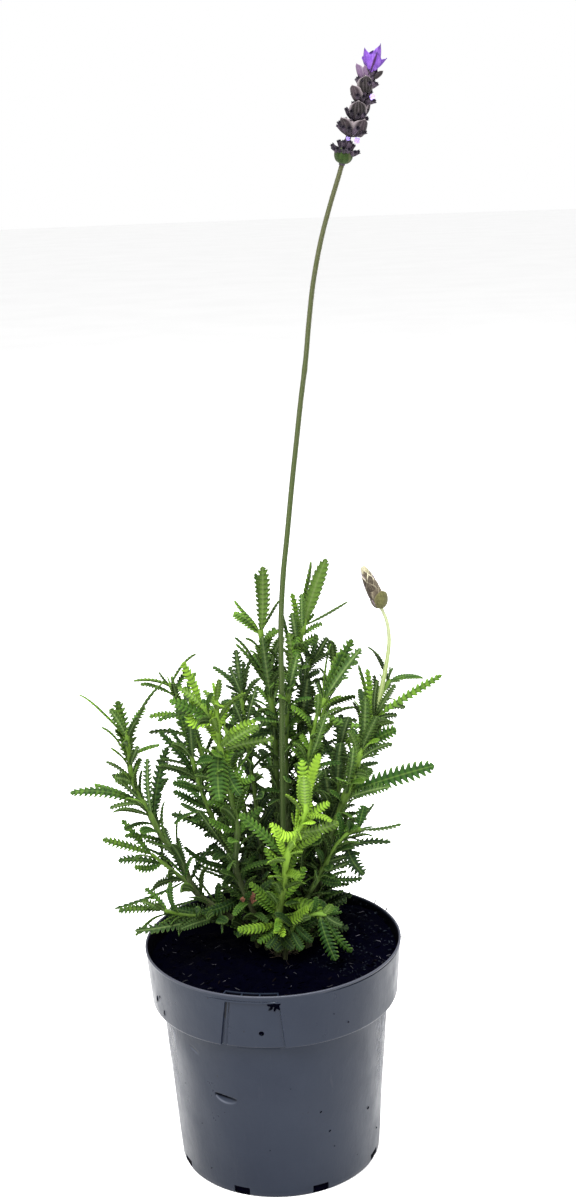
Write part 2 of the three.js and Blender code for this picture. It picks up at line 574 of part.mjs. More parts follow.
function soilBank(x, y) {
  const away = Math.hypot(x - SOIL_BANK.x, y - SOIL_BANK.y) / SOIL_BANK.spread;
  return SOIL_BANK.height * Math.exp(-away * away);
}

function soilHeight(x, y) {
  const { high, turnX, startX, turnY, startY, low, turnBoth } = SOIL_LUMPS;
  const lumps = high * Math.sin(turnX * x + startX) * Math.cos(turnY * y + startY)
    + low * Math.sin(turnBoth * (x + y));
  return SOIL.level + lumps + soilBank(x, y);
}

function soilSolid(holes) {
  const { wall, floor, baseRadius, bodyTopRadius, collarFootHeight, collarFootRadius } = POT;
  const inset = wall + SOIL.gap;
  // The wall's radius under each level of the side, kept inside the pot's flat facets.
  const facet = Math.cos(Math.PI / POT.segments);
  const ledge = collarFootHeight + wall;
  const overLedge = ledge + SOIL.gap + SOIL.ledgeRise;
  const side = [
    [(baseRadius - inset) * facet, floor + SOIL.gap],
    [(bodyTopRadius - inset) * facet, ledge - SOIL.ledgeDrop],
    [(bodyTopRadius - inset) * facet, overLedge],
    [(collarFootRadius - inset) * facet, overLedge],
  ];
  const rim = (collarRadius(SOIL.rim) - inset) * facet;
  const points = [];
  const triangles = [];
  const ring = (radius, heightAt) => {
    for (let j = 0; j < SOIL.segments; j += 1) {
      const angle = (2 * Math.PI * j) / SOIL.segments;
      const x = radius * Math.cos(angle);
      const y = radius * Math.sin(angle);
      points.push(new THREE.Vector3(x, y, heightAt(x, y)));
    }
  };
  side.forEach(([radius, z]) => ring(radius, () => z));
  ring(rim, (x, y) => SOIL.rim + soilBank(x, y));
  for (let i = SOIL.rings; i >= 1; i -= 1) ring((rim * i) / (SOIL.rings + 1), soilHeight);
  const rings = side.length + 1 + SOIL.rings;
  const floorCentre = points.push(new THREE.Vector3(0, 0, side[0][1])) - 1;
  const topCentre = points.push(new THREE.Vector3(0, 0, soilHeight(0, 0))) - 1;
  for (let j = 0; j < SOIL.segments; j += 1) {
    const next = (j + 1) % SOIL.segments;
    triangles.push([floorCentre, next, j]);
    for (let i = 0; i < rings - 1; i += 1) {
      const a = i * SOIL.segments;
      const b = a + SOIL.segments;
      triangles.push([a + j, a + next, b + next], [a + j, b + next, b + j]);
    }
    const last = (rings - 1) * SOIL.segments;
    triangles.push([topCentre, last + j, last + next]);
  }
  let soil = solidOf(geometryFrom(points, triangles));
  const pocket = collarBand(wall - 1, POCKET.depth + wall + SOIL.gap, POCKET.foot - SOIL.gap, POT.height);
  const besidePocket = sector(
    POCKET.from - POCKET.spareTurn, POCKET.to + POCKET.spareTurn, POCKET.foot - 1, POT.height,
  );
  soil = soil.subtract(pocket.intersect(besidePocket));
  holes.forEach(({ x, y, radius }) => {
    const bottom = SOIL.level - ROOT_DEPTH - GAP;
    const bore = new THREE.CylinderGeometry(radius, radius, HOLE_LENGTH, HOLE_SIDES).rotateX(Math.PI / 2);
    soil = soil.subtract(solidOf(bore.translate(x, y, bottom + HOLE_LENGTH / 2)));
  });
  return soil;
}

// ---------------------------------------------------------------- flower and bud

const FLOWER_STEM = {
  foot: [6.8, 3], radius: [1.7, 1.15], rings: 22,
  course: [[7, 150, -2], [7.8, 190, -6], [8.8, 230, -8], [9.8, 265, -8], [10.9, 305, -6], [13.1, 331, -4],
    [15.5, 349, -2], [19.5, 380, 0], [22.3, 400, 0], [25.1, 420, 0], [28.2, 440, 0], [30.6, 460, 0],
    [33.5, 480, 0], [37.9, 500, 0], [43.3, 518, 0], [47.4, 530, 0], [49.4, 536.2, 0]],
};
const SPIKE = {
  axis: [[49.6, 536.8, 0], [51.6, 545, 0], [55.2, 555, 0], [58.6, 563, 0], [61.6, 572, 0], [64, 580, 0]],
  axisRadius: [1.5, 1.0], axisRings: 6,
  // each whorl: height along the axis, how many calyces, how far they spread, their length
  whorls: [[0.16, 7, 52, 8.6], [0.4, 7, 50, 8.2], [0.56, 6, 42, 7.6], [0.71, 6, 38, 7.2], [0.87, 5, 30, 7]],
  whorlTurn: 0.4, seed: 77,
  calyxWidth: 2.6, calyxFoot: 0.75, widestAt: 0.62, calyxSides: 4,
  bractWidth: 7.5, bractLength: 8, bractOut: 0.62, bractRise: 0.72, bractFoot: [0.8, -1.6],
  thick: 0.9, roomThick: 1.4, greenSize: 1.3,
  cuff: { from: 0.06, to: 0.15, outside: [1.6, 1.8], sides: 7 },
};
const COMA = {
  base: [64.8, 580.8, 0], width: 6.5, flatter: 0.2,
  bracts: [[62, 590.5, -3], [69.8, 592.5, 0], [72.3, 585.5, 2], [66, 589, 5]],
};
const BUD_STALK = {
  course: [[60.6, 257, -4], [63.2, 268, -2], [66.1, 282, 0], [67.4, 293, 1], [66.4, 303, 1],
    [63.6, 310.65, 1]],
  radius: [1.3, 0.8], rings: 9,
};
const BUD = {
  base: [63.4, 311.1, 1], tip: [53.9, 334.3, 1], width: 8.6, sides: 9, widestAt: 0.42, roomFoot: 0.6,
  bractFoot: [64.7, 310.5, 1], bractTip: [65.1, 320.4, 0], bractWidth: 8,
  bractOut: new THREE.Vector3(1, -0.25, 0.3),
};

// Along a bract: the share of its length, half its width there and how far it bulges, as shares of width.
const BRACT_ROWS = [[0, 0.35, 0], [0.4, 1, 0.8], [0.8, 0.6, 0.55]];
const BRACT_BULGE = { size: 0.22, middle: 0.5, atEdge: 0.4 };

// A pointed barrel from foot to tip, with its widest ring at a share of the length.
function barrel(foot, tip, width, sides, widestAt, footShare = 0.5, tipShare = 0.25) {
  const way = tip.clone().sub(foot);
  const length = way.length();
  const profile = [[0, 0], [(footShare * width) / 2, 0], [width / 2, widestAt * length],
    [(tipShare * width) / 2, length], [0, length]];
  const geometry = new THREE.LatheGeometry(profile.map(([r, h]) => new THREE.Vector2(r, h)), sides);
  const turn = new THREE.Quaternion().setFromUnitVectors(new THREE.Vector3(0, 1, 0), way.normalize());
  return solidOf(geometry.applyQuaternion(turn).translate(foot.x, foot.y, foot.z));
}

// A calyx of few sides: pointed at both ends and widest past its middle.
function calyx(foot, tip, width) {
  const way = tip.clone().sub(foot);
  const profile = [new THREE.Vector2(0, 0), new THREE.Vector2(width / 2, SPIKE.widestAt * way.length()),
    new THREE.Vector2(0, way.length())];
  const geometry = new THREE.LatheGeometry(profile, SPIKE.calyxSides);
  const turn = new THREE.Quaternion().setFromUnitVectors(new THREE.Vector3(0, 1, 0), way.normalize());
  return solidOf(geometry.applyQuaternion(turn).translate(foot.x, foot.y, foot.z));
}

// A cupped bract: a thin pointed scale that bulges away from the axis.
function bract(foot, tip, width, out, thick = SPIKE.thick) {
  const way = tip.clone().sub(foot);
  const side = new THREE.Vector3().crossVectors(way, out).normalize();
  const face = new THREE.Vector3().crossVectors(side, way).normalize();
  if (face.dot(out) < 0) face.negate();
  const { size, middle, atEdge } = BRACT_BULGE;
  const points = [];
  BRACT_ROWS.forEach(([share, half, bulge]) => {
    [[-1, bulge * atEdge], [0, bulge + middle], [1, bulge * atEdge]].forEach(([edge, height]) => {
      const point = foot.clone().addScaledVector(way, share).addScaledVector(side, (edge * half * width) / 2)
        .addScaledVector(face, width * size * height);
      points.push(point, point.clone().addScaledVector(face, -thick));
    });
  });
  const tipOut = points.push(tip.clone()) - 1;
  const tipIn = points.push(tip.clone().addScaledVector(face, -thick)) - 1;
  const triangles = [];
  const at = (row, column, inner) => (row * 3 + column) * 2 + inner;
  for (let row = 0; row < BRACT_ROWS.length - 1; row += 1) {
    for (let column = 0; column < 2; column += 1) {
      const [a, b] = [at(row, column, 0), at(row, column + 1, 0)];
      const [c, d] = [at(row + 1, column + 1, 0), at(row + 1, column, 0)];
      triangles.push([a, b, c], [a, c, d], [a + 1, c + 1, b + 1], [a + 1, d + 1, c + 1]);
    }
    const [a, d] = [at(row, 0, 0), at(row + 1, 0, 0)];
    triangles.push([a, d, d + 1], [a, d + 1, a + 1]);
    const [b, c] = [at(row, 2, 0), at(row + 1, 2, 0)];
    triangles.push([b, c + 1, c], [b, b + 1, c + 1]);
  }
  const end = BRACT_ROWS.length - 1;
  const [a, m, b] = [at(end, 0, 0), at(end, 1, 0), at(end, 2, 0)];
  triangles.push([a, m, tipOut], [m, b, tipOut], [a + 1, tipIn, m + 1], [m + 1, tipIn, b + 1]);
  triangles.push([a, tipOut, tipIn], [a, tipIn, a + 1], [b, tipIn, tipOut], [b, b + 1, tipIn]);
  triangles.push([0, 3, 2], [0, 1, 3], [2, 5, 4], [2, 3, 5]);
  const solid = solidOf(geometryFrom(points, triangles));
  if (solid.volume() > 0) return solid;
  return solidOf(geometryFrom(points, triangles.map(([p, q, r]) => [p, r, q])));
}

// The dusky spike, the green cup of its lowest whorl, and the violet bracts on top of it.
function spikeParts() {
  const curve = smoothCurve(SPIKE.axis.map((reading) => seen(...reading)));
  const random = randomFrom(SPIKE.seed);
  const [axisFoot, axisTop] = SPIKE.axisRadius;
  const dusky = [stemSolid(curve, axisFoot, axisTop, SPIKE.axisRings)];
  const room = [stemSolid(curve, axisFoot + GAP, axisTop + GAP, SPIKE.axisRings)];
  const green = [];
  SPIKE.whorls.forEach(([share, count, spread, length], index) => {
    const foot = curve.getPointAt(share);
    const along = curve.getTangentAt(share);
    const sideways = new THREE.Vector3().crossVectors(along, new THREE.Vector3(0, 1, 0)).normalize();
    const outward = (turn) => sideways.clone().applyAxisAngle(along, turn);
    const lean = THREE.MathUtils.degToRad(spread);
    for (let k = 0; k < count; k += 1) {
      const out = outward((2 * Math.PI * (k + 0.3 * (random() - 0.5))) / count + index * SPIKE.whorlTurn);
      const reach = length * (0.9 + 0.2 * random());
      const low = foot.clone().addScaledVector(out, SPIKE.calyxFoot);
      const tip = leaning(foot, out, along, lean, reach);
      dusky.push(calyx(low, tip, SPIKE.calyxWidth));
      room.push(calyx(low, tip.clone().addScaledVector(along, GAP), SPIKE.calyxWidth + 2 * GAP));
    }
    for (let k = 0; k < 2; k += 1) {
      const out = outward(Math.PI * k + (index % 2) * (Math.PI / 2) + Math.PI / 2);
      const size = index === 0 ? SPIKE.greenSize : 1;
      const [footOut, footRise] = SPIKE.bractFoot;
      const low = foot.clone().addScaledVector(along, footRise).addScaledVector(out, footOut);
      const tip = low.clone().addScaledVector(out, SPIKE.bractLength * SPIKE.bractOut * size)
        .addScaledVector(along, SPIKE.bractLength * SPIKE.bractRise);
      (index === 0 ? green : dusky).push(bract(low, tip, SPIKE.bractWidth * size, out));
      if (index > 0) room.push(bract(low, tip, SPIKE.bractWidth + GAP, out, SPIKE.roomThick));
    }
  });
  const { from, to, outside, sides } = SPIKE.cuff;
  const cuff = new THREE.LineCurve3(curve.getPointAt(from), curve.getPointAt(to));
  green.push(stemSolid(cuff, axisFoot + outside[0], axisFoot + outside[1], 1, sides));
  const comaBase = seen(...COMA.base);
  const coma = COMA.bracts.map((reading) => {
    const tip = seen(...reading);
    const out = tip.clone().sub(comaBase);
    out.z *= COMA.flatter;
    return bract(comaBase, tip, COMA.width, out);
  });
  const taken = joined(room);
  return {
    dusky: joined(dusky),
    green: joined(green).subtract(taken),
    coma: joined(coma).subtract(taken),
  };
}

// ---------------------------------------------------------------- the whole plant

const plant = new THREE.Group();
const holes = [];

function standing(foot, radius) {
  holes.push({ x: foot[0], y: foot[1], radius: radius + HOLE_SLACK });
}

// Stems first, so that every leaf can keep clear of all of them.
const shoots = Object.entries(LEAFY_STEMS).map(([name, shoot]) => {
  const owner = `leafy_stem_${name}`;
  const branches = shoot.branches.map((branch, index) => {
    const course = branch.course.map((p) => seen(...p));
    const curve = index === 0 ? stemCurve(shoot.foot, course) : smoothCurve(course);
    const radius = branch.radius ?? shoot.radius;
    const solid = stemSolid(curve, ...radius, index === 0 ? branch.course.length + EXTRA_RINGS : TWIG_RINGS);
    keep(owner, solid);
    return { ...branch, curve, solid };
  });
  standing(shoot.foot, shoot.radius[0]);
  return { owner, shoot, branches, blades: [] };
});

const backRandom = randomFrom(BACK.seed);
const backShoots = Array.from({ length: BACK.stems }, (_, i) => {
  const share = i / (BACK.stems - 1);
  const bearing = THREE.MathUtils.degToRad(THREE.MathUtils.lerp(BACK.fromBearing, BACK.toBearing, share));
  const away = [Math.cos(bearing), Math.sin(bearing)];
  const foot = [0, 1].map((axis) => BACK.arc[axis] + BACK.arcRadius[axis] * away[axis]);
  const lean = THREE.MathUtils.degToRad(THREE.MathUtils.lerp(...BACK.lean, backRandom()));
  const length = THREE.MathUtils.lerp(...BACK.length, backRandom());
  const course = BACK.parts.map((part) => {
    const out = length * part * Math.sin(lean * (1 - BACK.uprightFoot + BACK.uprightFoot * part));
    const rise = length * part * Math.cos(lean * part);
    return new THREE.Vector3(foot[0] + out * away[0], foot[1] + out * away[1], SOIL.level + rise);
  });
  const curve = stemCurve(foot, course);
  const owner = `leafy_stem_back_${i + 1}`;
  const solid = stemSolid(curve, ...BACK.radius, BACK.rings);
  keep(owner, solid);
  standing(foot, BACK.radius[0]);
  return { owner, curve, solid, blades: [] };
});

const flowerCurve = stemCurve(FLOWER_STEM.foot, FLOWER_STEM.course.map((p) => seen(...p)));
const flowerStem = stemSolid(flowerCurve, ...FLOWER_STEM.radius, FLOWER_STEM.rings);
keep('flower_stem', flowerStem);
standing(FLOWER_STEM.foot, FLOWER_STEM.radius[0]);
// The bud's stalk stands on the top of the stem that carries it.
const carrier = shoots.find(({ owner }) => owner === 'leafy_stem_right_outer').branches[0].curve;
const stalkFoot = carrier.getPoint(1).addScaledVector(carrier.getTangent(1), 1.5 * GAP);
const budStalkCurve = smoothCurve([stalkFoot, ...BUD_STALK.course.map((reading) => seen(...reading))]);
const budStalk = stemSolid(budStalkCurve, ...BUD_STALK.radius, BUD_STALK.rings);
keep('bud_stalk', budStalk);
const crown = barrel(
  new THREE.Vector3(CROWN.x, CROWN.y, SOIL.level - ROOT_DEPTH),
  new THREE.Vector3(CROWN.x, CROWN.y, SOIL.level + CROWN.top),
  2 * CROWN.radius, CROWN.sides, CROWN.widestAt, CROWN.footShare, CROWN.tipShare,
);
keep('crown', crown);
standing([CROWN.x, CROWN.y], CROWN.radius);

const pot = potSolid();
const soil = soilSolid(holes);
keep('pot', pot);
keep('soil', soil);

shoots.forEach(({ owner, branches, blades }) => {
  branches.forEach(({ curve, leaves }) => leaves.forEach((leaf) => {
    const blade = placeLeaf(owner, READ_TRIES.map((shift) => readLeaf(curve, leaf, shift)));
    if (blade) blades.push(blade);
  }));
});

function growLeaves(owner, curve, count, seed, blades, firstBearing) {
  const random = randomFrom(seed);
  for (let k = 0; k < count; k += 1) {
    const pair = Math.floor(k / 2);
    const pairs = Math.ceil(count / 2);
    const upward = pairs > 1 ? pair / (pairs - 1) : GROWN.onlyShare;
    const share = THREE.MathUtils.lerp(...GROWN.shares, upward);
    const bearing = firstBearing + 90 * pair + 180 * (k % 2) + GROWN.jitter * (random() - 0.5);
    const shorter = 1 - GROWN.shorterAtTop * pair / pairs;
    const length = THREE.MathUtils.lerp(...GROWN.length, random()) * shorter;
    const width = THREE.MathUtils.lerp(...GROWN.width, random());
    const angle = THREE.MathUtils.lerp(...GROWN.angle, random());
    const blade = placeLeaf(owner, GROWN.tries.map(
      (attempt) => grownLeaf(curve, share, bearing, length, width, angle, attempt),
    ));
    if (blade) blades.push(blade);
  }
}

shoots.forEach(({ owner, shoot, branches, blades }, index) => {
  growLeaves(owner, branches[0].curve, shoot.grown, GROWN.seed + index, blades, GROWN.firstBearing);
});
backShoots.forEach(({ owner, curve, blades }, index) => {
  const { first, step } = GROWN.backBearing;
  growLeaves(owner, curve, BACK.leaves, GROWN.backSeed + index, blades, first + step * index);
});

plant.add(meshOf('pot', pot, COLOUR.pot, 0.5));
plant.add(meshOf('soil', soil, COLOUR.soil, 0.95));
plant.add(meshOf('crown', crown, COLOUR.wood, 0.9));
shoots.forEach(({ owner, shoot, branches, blades }) => {
  plant.add(meshOf(owner, joined([...branches.map(({ solid }) => solid), ...blades]), shoot.colour, 0.75));
});
backShoots.forEach(({ owner, solid, blades }) => {
  plant.add(meshOf(owner, joined([solid, ...blades]), BACK.colour, 0.75));
});
plant.add(meshOf('flower_stem', flowerStem, COLOUR.stem, 0.8));

const spike = spikeParts();
plant.add(meshOf('flower_spike', spike.dusky, COLOUR.spike, 0.9));
plant.add(meshOf('flower_green_bracts', spike.green, COLOUR.greenBract, 0.8));
plant.add(meshOf('flower_coma', spike.coma, COLOUR.coma, 0.7));
plant.add(meshOf('bud_stalk', budStalk, COLOUR.budStalk, 0.8));
const budEnds = [seen(...BUD.base), seen(...BUD.tip)];
const budRoom = barrel(...budEnds, BUD.width + 2 * GAP, BUD.sides, BUD.widestAt, BUD.roomFoot);
const budBract = bract(seen(...BUD.bractFoot), seen(...BUD.bractTip), BUD.bractWidth, BUD.bractOut);
const budHead = barrel(...budEnds, BUD.width, BUD.sides, BUD.widestAt);
plant.add(meshOf('bud_head', budHead, COLOUR.bud, 0.9));
plant.add(meshOf('bud_bract', budBract.subtract(budRoom), COLOUR.budBract, 0.9));

export default plant;
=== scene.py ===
# A young toothed-leaf lavender in a nursery pot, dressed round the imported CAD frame.
# Lengths are millimetres until a mesh is made. A reading [x, z, depth] names a place as it looks from the
# front: the point of the upright plane y = 0 that it covers, and how far behind that plane it really is.

import math

import bmesh
import bpy
import numpy as np
from mathutils import Euler, Matrix, Vector, noise
from mathutils.bvhtree import BVHTree


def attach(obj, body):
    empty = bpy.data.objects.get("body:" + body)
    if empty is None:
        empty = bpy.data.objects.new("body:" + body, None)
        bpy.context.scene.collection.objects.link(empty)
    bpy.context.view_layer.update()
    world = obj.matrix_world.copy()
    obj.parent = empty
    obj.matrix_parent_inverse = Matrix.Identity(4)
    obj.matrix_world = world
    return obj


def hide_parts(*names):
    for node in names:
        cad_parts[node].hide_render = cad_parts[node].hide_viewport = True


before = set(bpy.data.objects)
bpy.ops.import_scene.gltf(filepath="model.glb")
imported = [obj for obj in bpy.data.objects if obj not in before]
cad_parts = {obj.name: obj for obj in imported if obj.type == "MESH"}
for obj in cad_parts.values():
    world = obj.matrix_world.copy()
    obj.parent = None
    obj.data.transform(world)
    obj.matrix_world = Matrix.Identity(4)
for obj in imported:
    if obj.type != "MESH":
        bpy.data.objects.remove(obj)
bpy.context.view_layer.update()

EYE = np.array([15.0, -862.0, 533.0])     # where the picture is seen from
PITCH, ROLL = 14.1, -2.1                  # degrees the view looks down, and turns about its own axis
LENS, SENSOR = 51.0, 36.0
UP = np.array([0.0, 0.0, 1.0])
MASK = 0xFFFFFFFF                         # 32 bits

SOIL_LEVEL = 117.0
ROOT_DEPTH = 22.0                         # how far the stems reach into the soil
GAP = 0.3                                 # between pieces that stand close

# ---------------------------------------------------------------- small tools


def seen(x, z, depth):
    """The place behind a reading."""
    return EYE + (np.array([x, 0.0, z]) - EYE) * (1 + depth / -EYE[1])


def unit(v):
    return v / np.linalg.norm(v)


def level(turn, rise=0):
    """The direction at a turn round +Z, in radians."""
    return np.array([math.cos(turn), math.sin(turn), rise])


def circle(count):
    return np.linspace(0, 2 * math.pi, count, endpoint=False)


def three(a, b, c):
    """Three numbers for each point, from numbers and grids of them."""
    return np.stack(np.broadcast_arrays(a, b, c), -1)


def mix(a, b, share):
    return a + (b - a) * share


def ramp(value, low, high):
    """0 below low, 1 above high, smooth between."""
    t = np.clip((value - low) / (high - low), 0, 1)
    return t * t * (3 - 2 * t)


class Dice:
    """The same run of numbers from 0 to 1 for the same seed."""

    STEP = 0x6D2B79F5      # of the generator's state

    def __init__(self, seed):
        self.state = seed & MASK

    def __call__(self):
        self.state = (self.state + self.STEP) & MASK
        t = self.state
        t = ((t ^ (t >> 15)) * (t | 1)) & MASK
        t ^= (t + (((t ^ (t >> 7)) * (t | 61)) & MASK)) & MASK
        return ((t ^ (t >> 14)) & MASK) / (MASK + 1)

    def between(self, low, high):
        return low + (high - low) * self()


def turned(v, axis, angle):
    """v turned about a unit axis."""
    c, s = math.cos(angle), math.sin(angle)
    return v * c + np.cross(axis, v) * s + axis * np.dot(axis, v) * (1 - c)


class Curve:
    """A smooth line through points, read by its share of the length."""

    STEPS = 40         # for each piece between two points
    NEAR = 0.4         # a direction is read this far to both sides

    def __init__(self, points):
        p = np.array(points, float)
        p = np.vstack([2 * p[0] - p[1], p, 2 * p[-1] - p[-2]])
        pieces = []
        w = np.linspace(0, 1, self.STEPS, endpoint=False)[:, None]
        for p0, p1, p2, p3 in zip(p, p[1:], p[2:], p[3:]):
            d0, d1, d2 = (np.linalg.norm(b - a) ** 0.5 for a, b in ((p0, p1), (p1, p2), (p2, p3)))
            t1 = ((p1 - p0) / d0 - (p2 - p0) / (d0 + d1) + (p2 - p1) / d1) * d1
            t2 = ((p2 - p1) / d1 - (p3 - p1) / (d1 + d2) + (p3 - p2) / d2) * d1
            pieces.append(p1 + t1 * w + (3 * (p2 - p1) - 2 * t1 - t2) * w ** 2
                          + (2 * (p1 - p2) + t1 + t2) * w ** 3)
        self.line = np.vstack([*pieces, p[-2:-1]])
        self.run = np.concatenate([[0], np.cumsum(np.linalg.norm(np.diff(self.line, axis=0), axis=1))])
        self.length = self.run[-1]

    def at(self, share):
        where = np.clip(share, 0, 1) * self.length
        return np.stack([np.interp(where, self.run, self.line[:, i]) for i in range(3)], -1)

    def along(self, share):
        step = self.NEAR / self.length
        way = self.at(np.minimum(share + step, 1)) - self.at(np.maximum(share - step, 0))
        return way / np.linalg.norm(way, axis=-1, keepdims=True)


def grid(rows, columns, closed=False):
    """Quads of a grid of points that run row by row. closed joins the last column to the first."""
    a = np.arange(rows - 1)[:, None] * columns
    b = np.arange(columns if closed else columns - 1)[None, :]
    c = (b + 1) % columns
    return np.stack([a + b, a + c, a + columns + c, a + columns + b], -1).reshape(-1, 4)


class Shape:
    """Collects points and faces. place and mark are three numbers for each point, which materials read."""

    def __init__(self):
        self.points, self.places, self.marks = [], [], []
        self.quads, self.triangles, self.quad_slots, self.triangle_slots = [], [], [], []
        self.count = 0

    def add(self, points, faces, slot=0, place=(0, 0, 0), mark=(0.5, 0, 0)):
        points = np.asarray(points, float).reshape(-1, 3)
        faces = np.asarray(faces, int)
        self.points.append(points)
        for values, kept in ((place, self.places), (mark, self.marks)):
            kept.append(np.broadcast_to(np.asarray(values, float).reshape(-1, 3), points.shape))
        if faces.shape[1] == 4:
            self.join(faces + self.count, slot)
        else:
            self.triangles.append(faces + self.count)
            self.triangle_slots.append(np.full(len(faces), slot))
        self.count += len(points)

    def join(self, quads, slot):
        """Quads between points that are there already."""
        self.quads.append(np.asarray(quads))
        self.quad_slots.append(np.full(len(quads), slot))

    def blade(self, top, under, slot, along, across, mark):
        """A thin sheet between two grids of points, closed round its edge."""
        rows, columns = top.shape[:2]
        base, other, last, tail = self.count, self.count + rows * columns, columns - 1, (rows - 1) * columns
        faces = grid(rows, columns)
        self.add(top, faces, slot, three(along, across, 0.0), mark)
        self.add(under, faces[:, ::-1], slot, three(along, across, 1.0), mark)
        row, end = np.arange(rows - 1) * columns, np.arange(last)
        rim = [(base + row, base + row + columns, other + row + columns, other + row),
               (base + row + last, other + row + last, other + row + columns + last, base + row + columns + last),
               (base + end, other + end, other + end + 1, base + end + 1),
               (base + tail + end, base + tail + end + 1, other + tail + end + 1, other + tail + end)]
        self.join(np.vstack([np.stack(corners, -1) for corners in rim]), slot)

    def fan(self, ring, middle, slot=0, place=(0, 0, 0), mark=(0.5, 0, 0), flip=False):
        """Closes a ring of points with triangles to one in the middle."""
        count = len(ring)
        j = np.arange(count)
        faces = np.stack([j, (j + 1) % count, np.full(count, count)], -1)
        self.add(np.vstack([ring, middle]), faces[:, ::-1] if flip else faces, slot, place, mark)

    def made(self, name, materials, merge=0.0):
        """The object, in metres."""
        none = np.zeros((0, 4), int)
        quads = np.vstack([none, *self.quads])
        triangles = np.vstack([none[:, :3], *self.triangles])
        mesh = bpy.data.meshes.new(name)
        mesh.vertices.add(self.count)
        mesh.vertices.foreach_set("co", (np.vstack(self.points) / 1000).ravel())
        mesh.loops.add(quads.size + triangles.size)
        mesh.loops.foreach_set("vertex_index", np.concatenate([quads.ravel(), triangles.ravel()]))
        starts = np.concatenate([np.arange(len(quads)) * 4, quads.size + np.arange(len(triangles)) * 3])
        mesh.polygons.add(len(starts))
        mesh.polygons.foreach_set("loop_start", starts)
        slots = np.concatenate([[], *self.quad_slots, *self.triangle_slots]).astype(np.int32)
        mesh.polygons.foreach_set("material_index", slots)
        mesh.polygons.foreach_set("use_smooth", np.ones(len(starts), bool))
        for label, values in (("place", self.places), ("mark", self.marks)):
            attribute = mesh.attributes.new(label, "FLOAT_VECTOR", "POINT")
            attribute.data.foreach_set("vector", np.vstack(values).astype(np.float32).ravel())
        mesh.update(calc_edges=True)
        mesh.validate()
        if merge:
            weld(mesh, merge / 1000)
        obj = bpy.data.objects.new(name, mesh)
        bpy.context.scene.collection.objects.link(obj)
        for material in materials:
            mesh.materials.append(material)
        return obj


def weld(mesh, distance):
    work = bmesh.new()
    work.from_mesh(mesh)
    bmesh.ops.remove_doubles(work, verts=work.verts, dist=distance)
    work.to_mesh(mesh)
    work.free()


def dress(obj, slot, *nodes):
    """obj rides on the plant and stands for the nodes. slot is not used."""
    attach(obj, "root")
    if nodes:
        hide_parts(*nodes)
    return obj


def carried(line):
    """Two directions across a line at each of its points, which turn no more than it does."""
    way = np.gradient(line, axis=0)
    way /= np.linalg.norm(way, axis=1, keepdims=True)
    side = unit(np.cross(way[0], [0.31, 0.86, 0.4]))
    sides = []
    for w in way:
        side = unit(side - w * np.dot(side, w))
        sides.append(side)
    sides = np.array(sides)
    return sides, np.cross(way, sides)


def tube(shape, line, radius, sides=10, slot=0, place=None, mark=(0.5, 0, 0), ridges=0.0, ridge_count=4):
    """A round or ridged tube along a line. radius is a number for each point of it."""
    line = np.asarray(line, float)
    radius = np.broadcast_to(radius, len(line))
    u, v = carried(line)
    angle = circle(sides)
    swell = 1 + ridges * np.cos(ridge_count * angle)
    ring = (np.cos(angle) * swell)[None, :, None] * u[:, None] + (np.sin(angle) * swell)[None, :, None] * v[:, None]
    points = line[:, None] + ring * radius[:, None, None]
    if place is None:
        place = three(np.linspace(0, 1, len(line))[:, None], (np.cos(ridge_count * angle) + 1)[None] / 2, 0.0)
    place, mark = (np.broadcast_to(values, points.shape).reshape(-1, 3) for values in (place, mark))
    shape.add(points, grid(len(line), sides, closed=True), slot, place, mark)
    shape.fan(points[0], line[0], slot, place[0], mark[0], flip=True)
    shape.fan(points[-1], line[-1], slot, place[-1], mark[-1])


# ---------------------------------------------------------------- materials


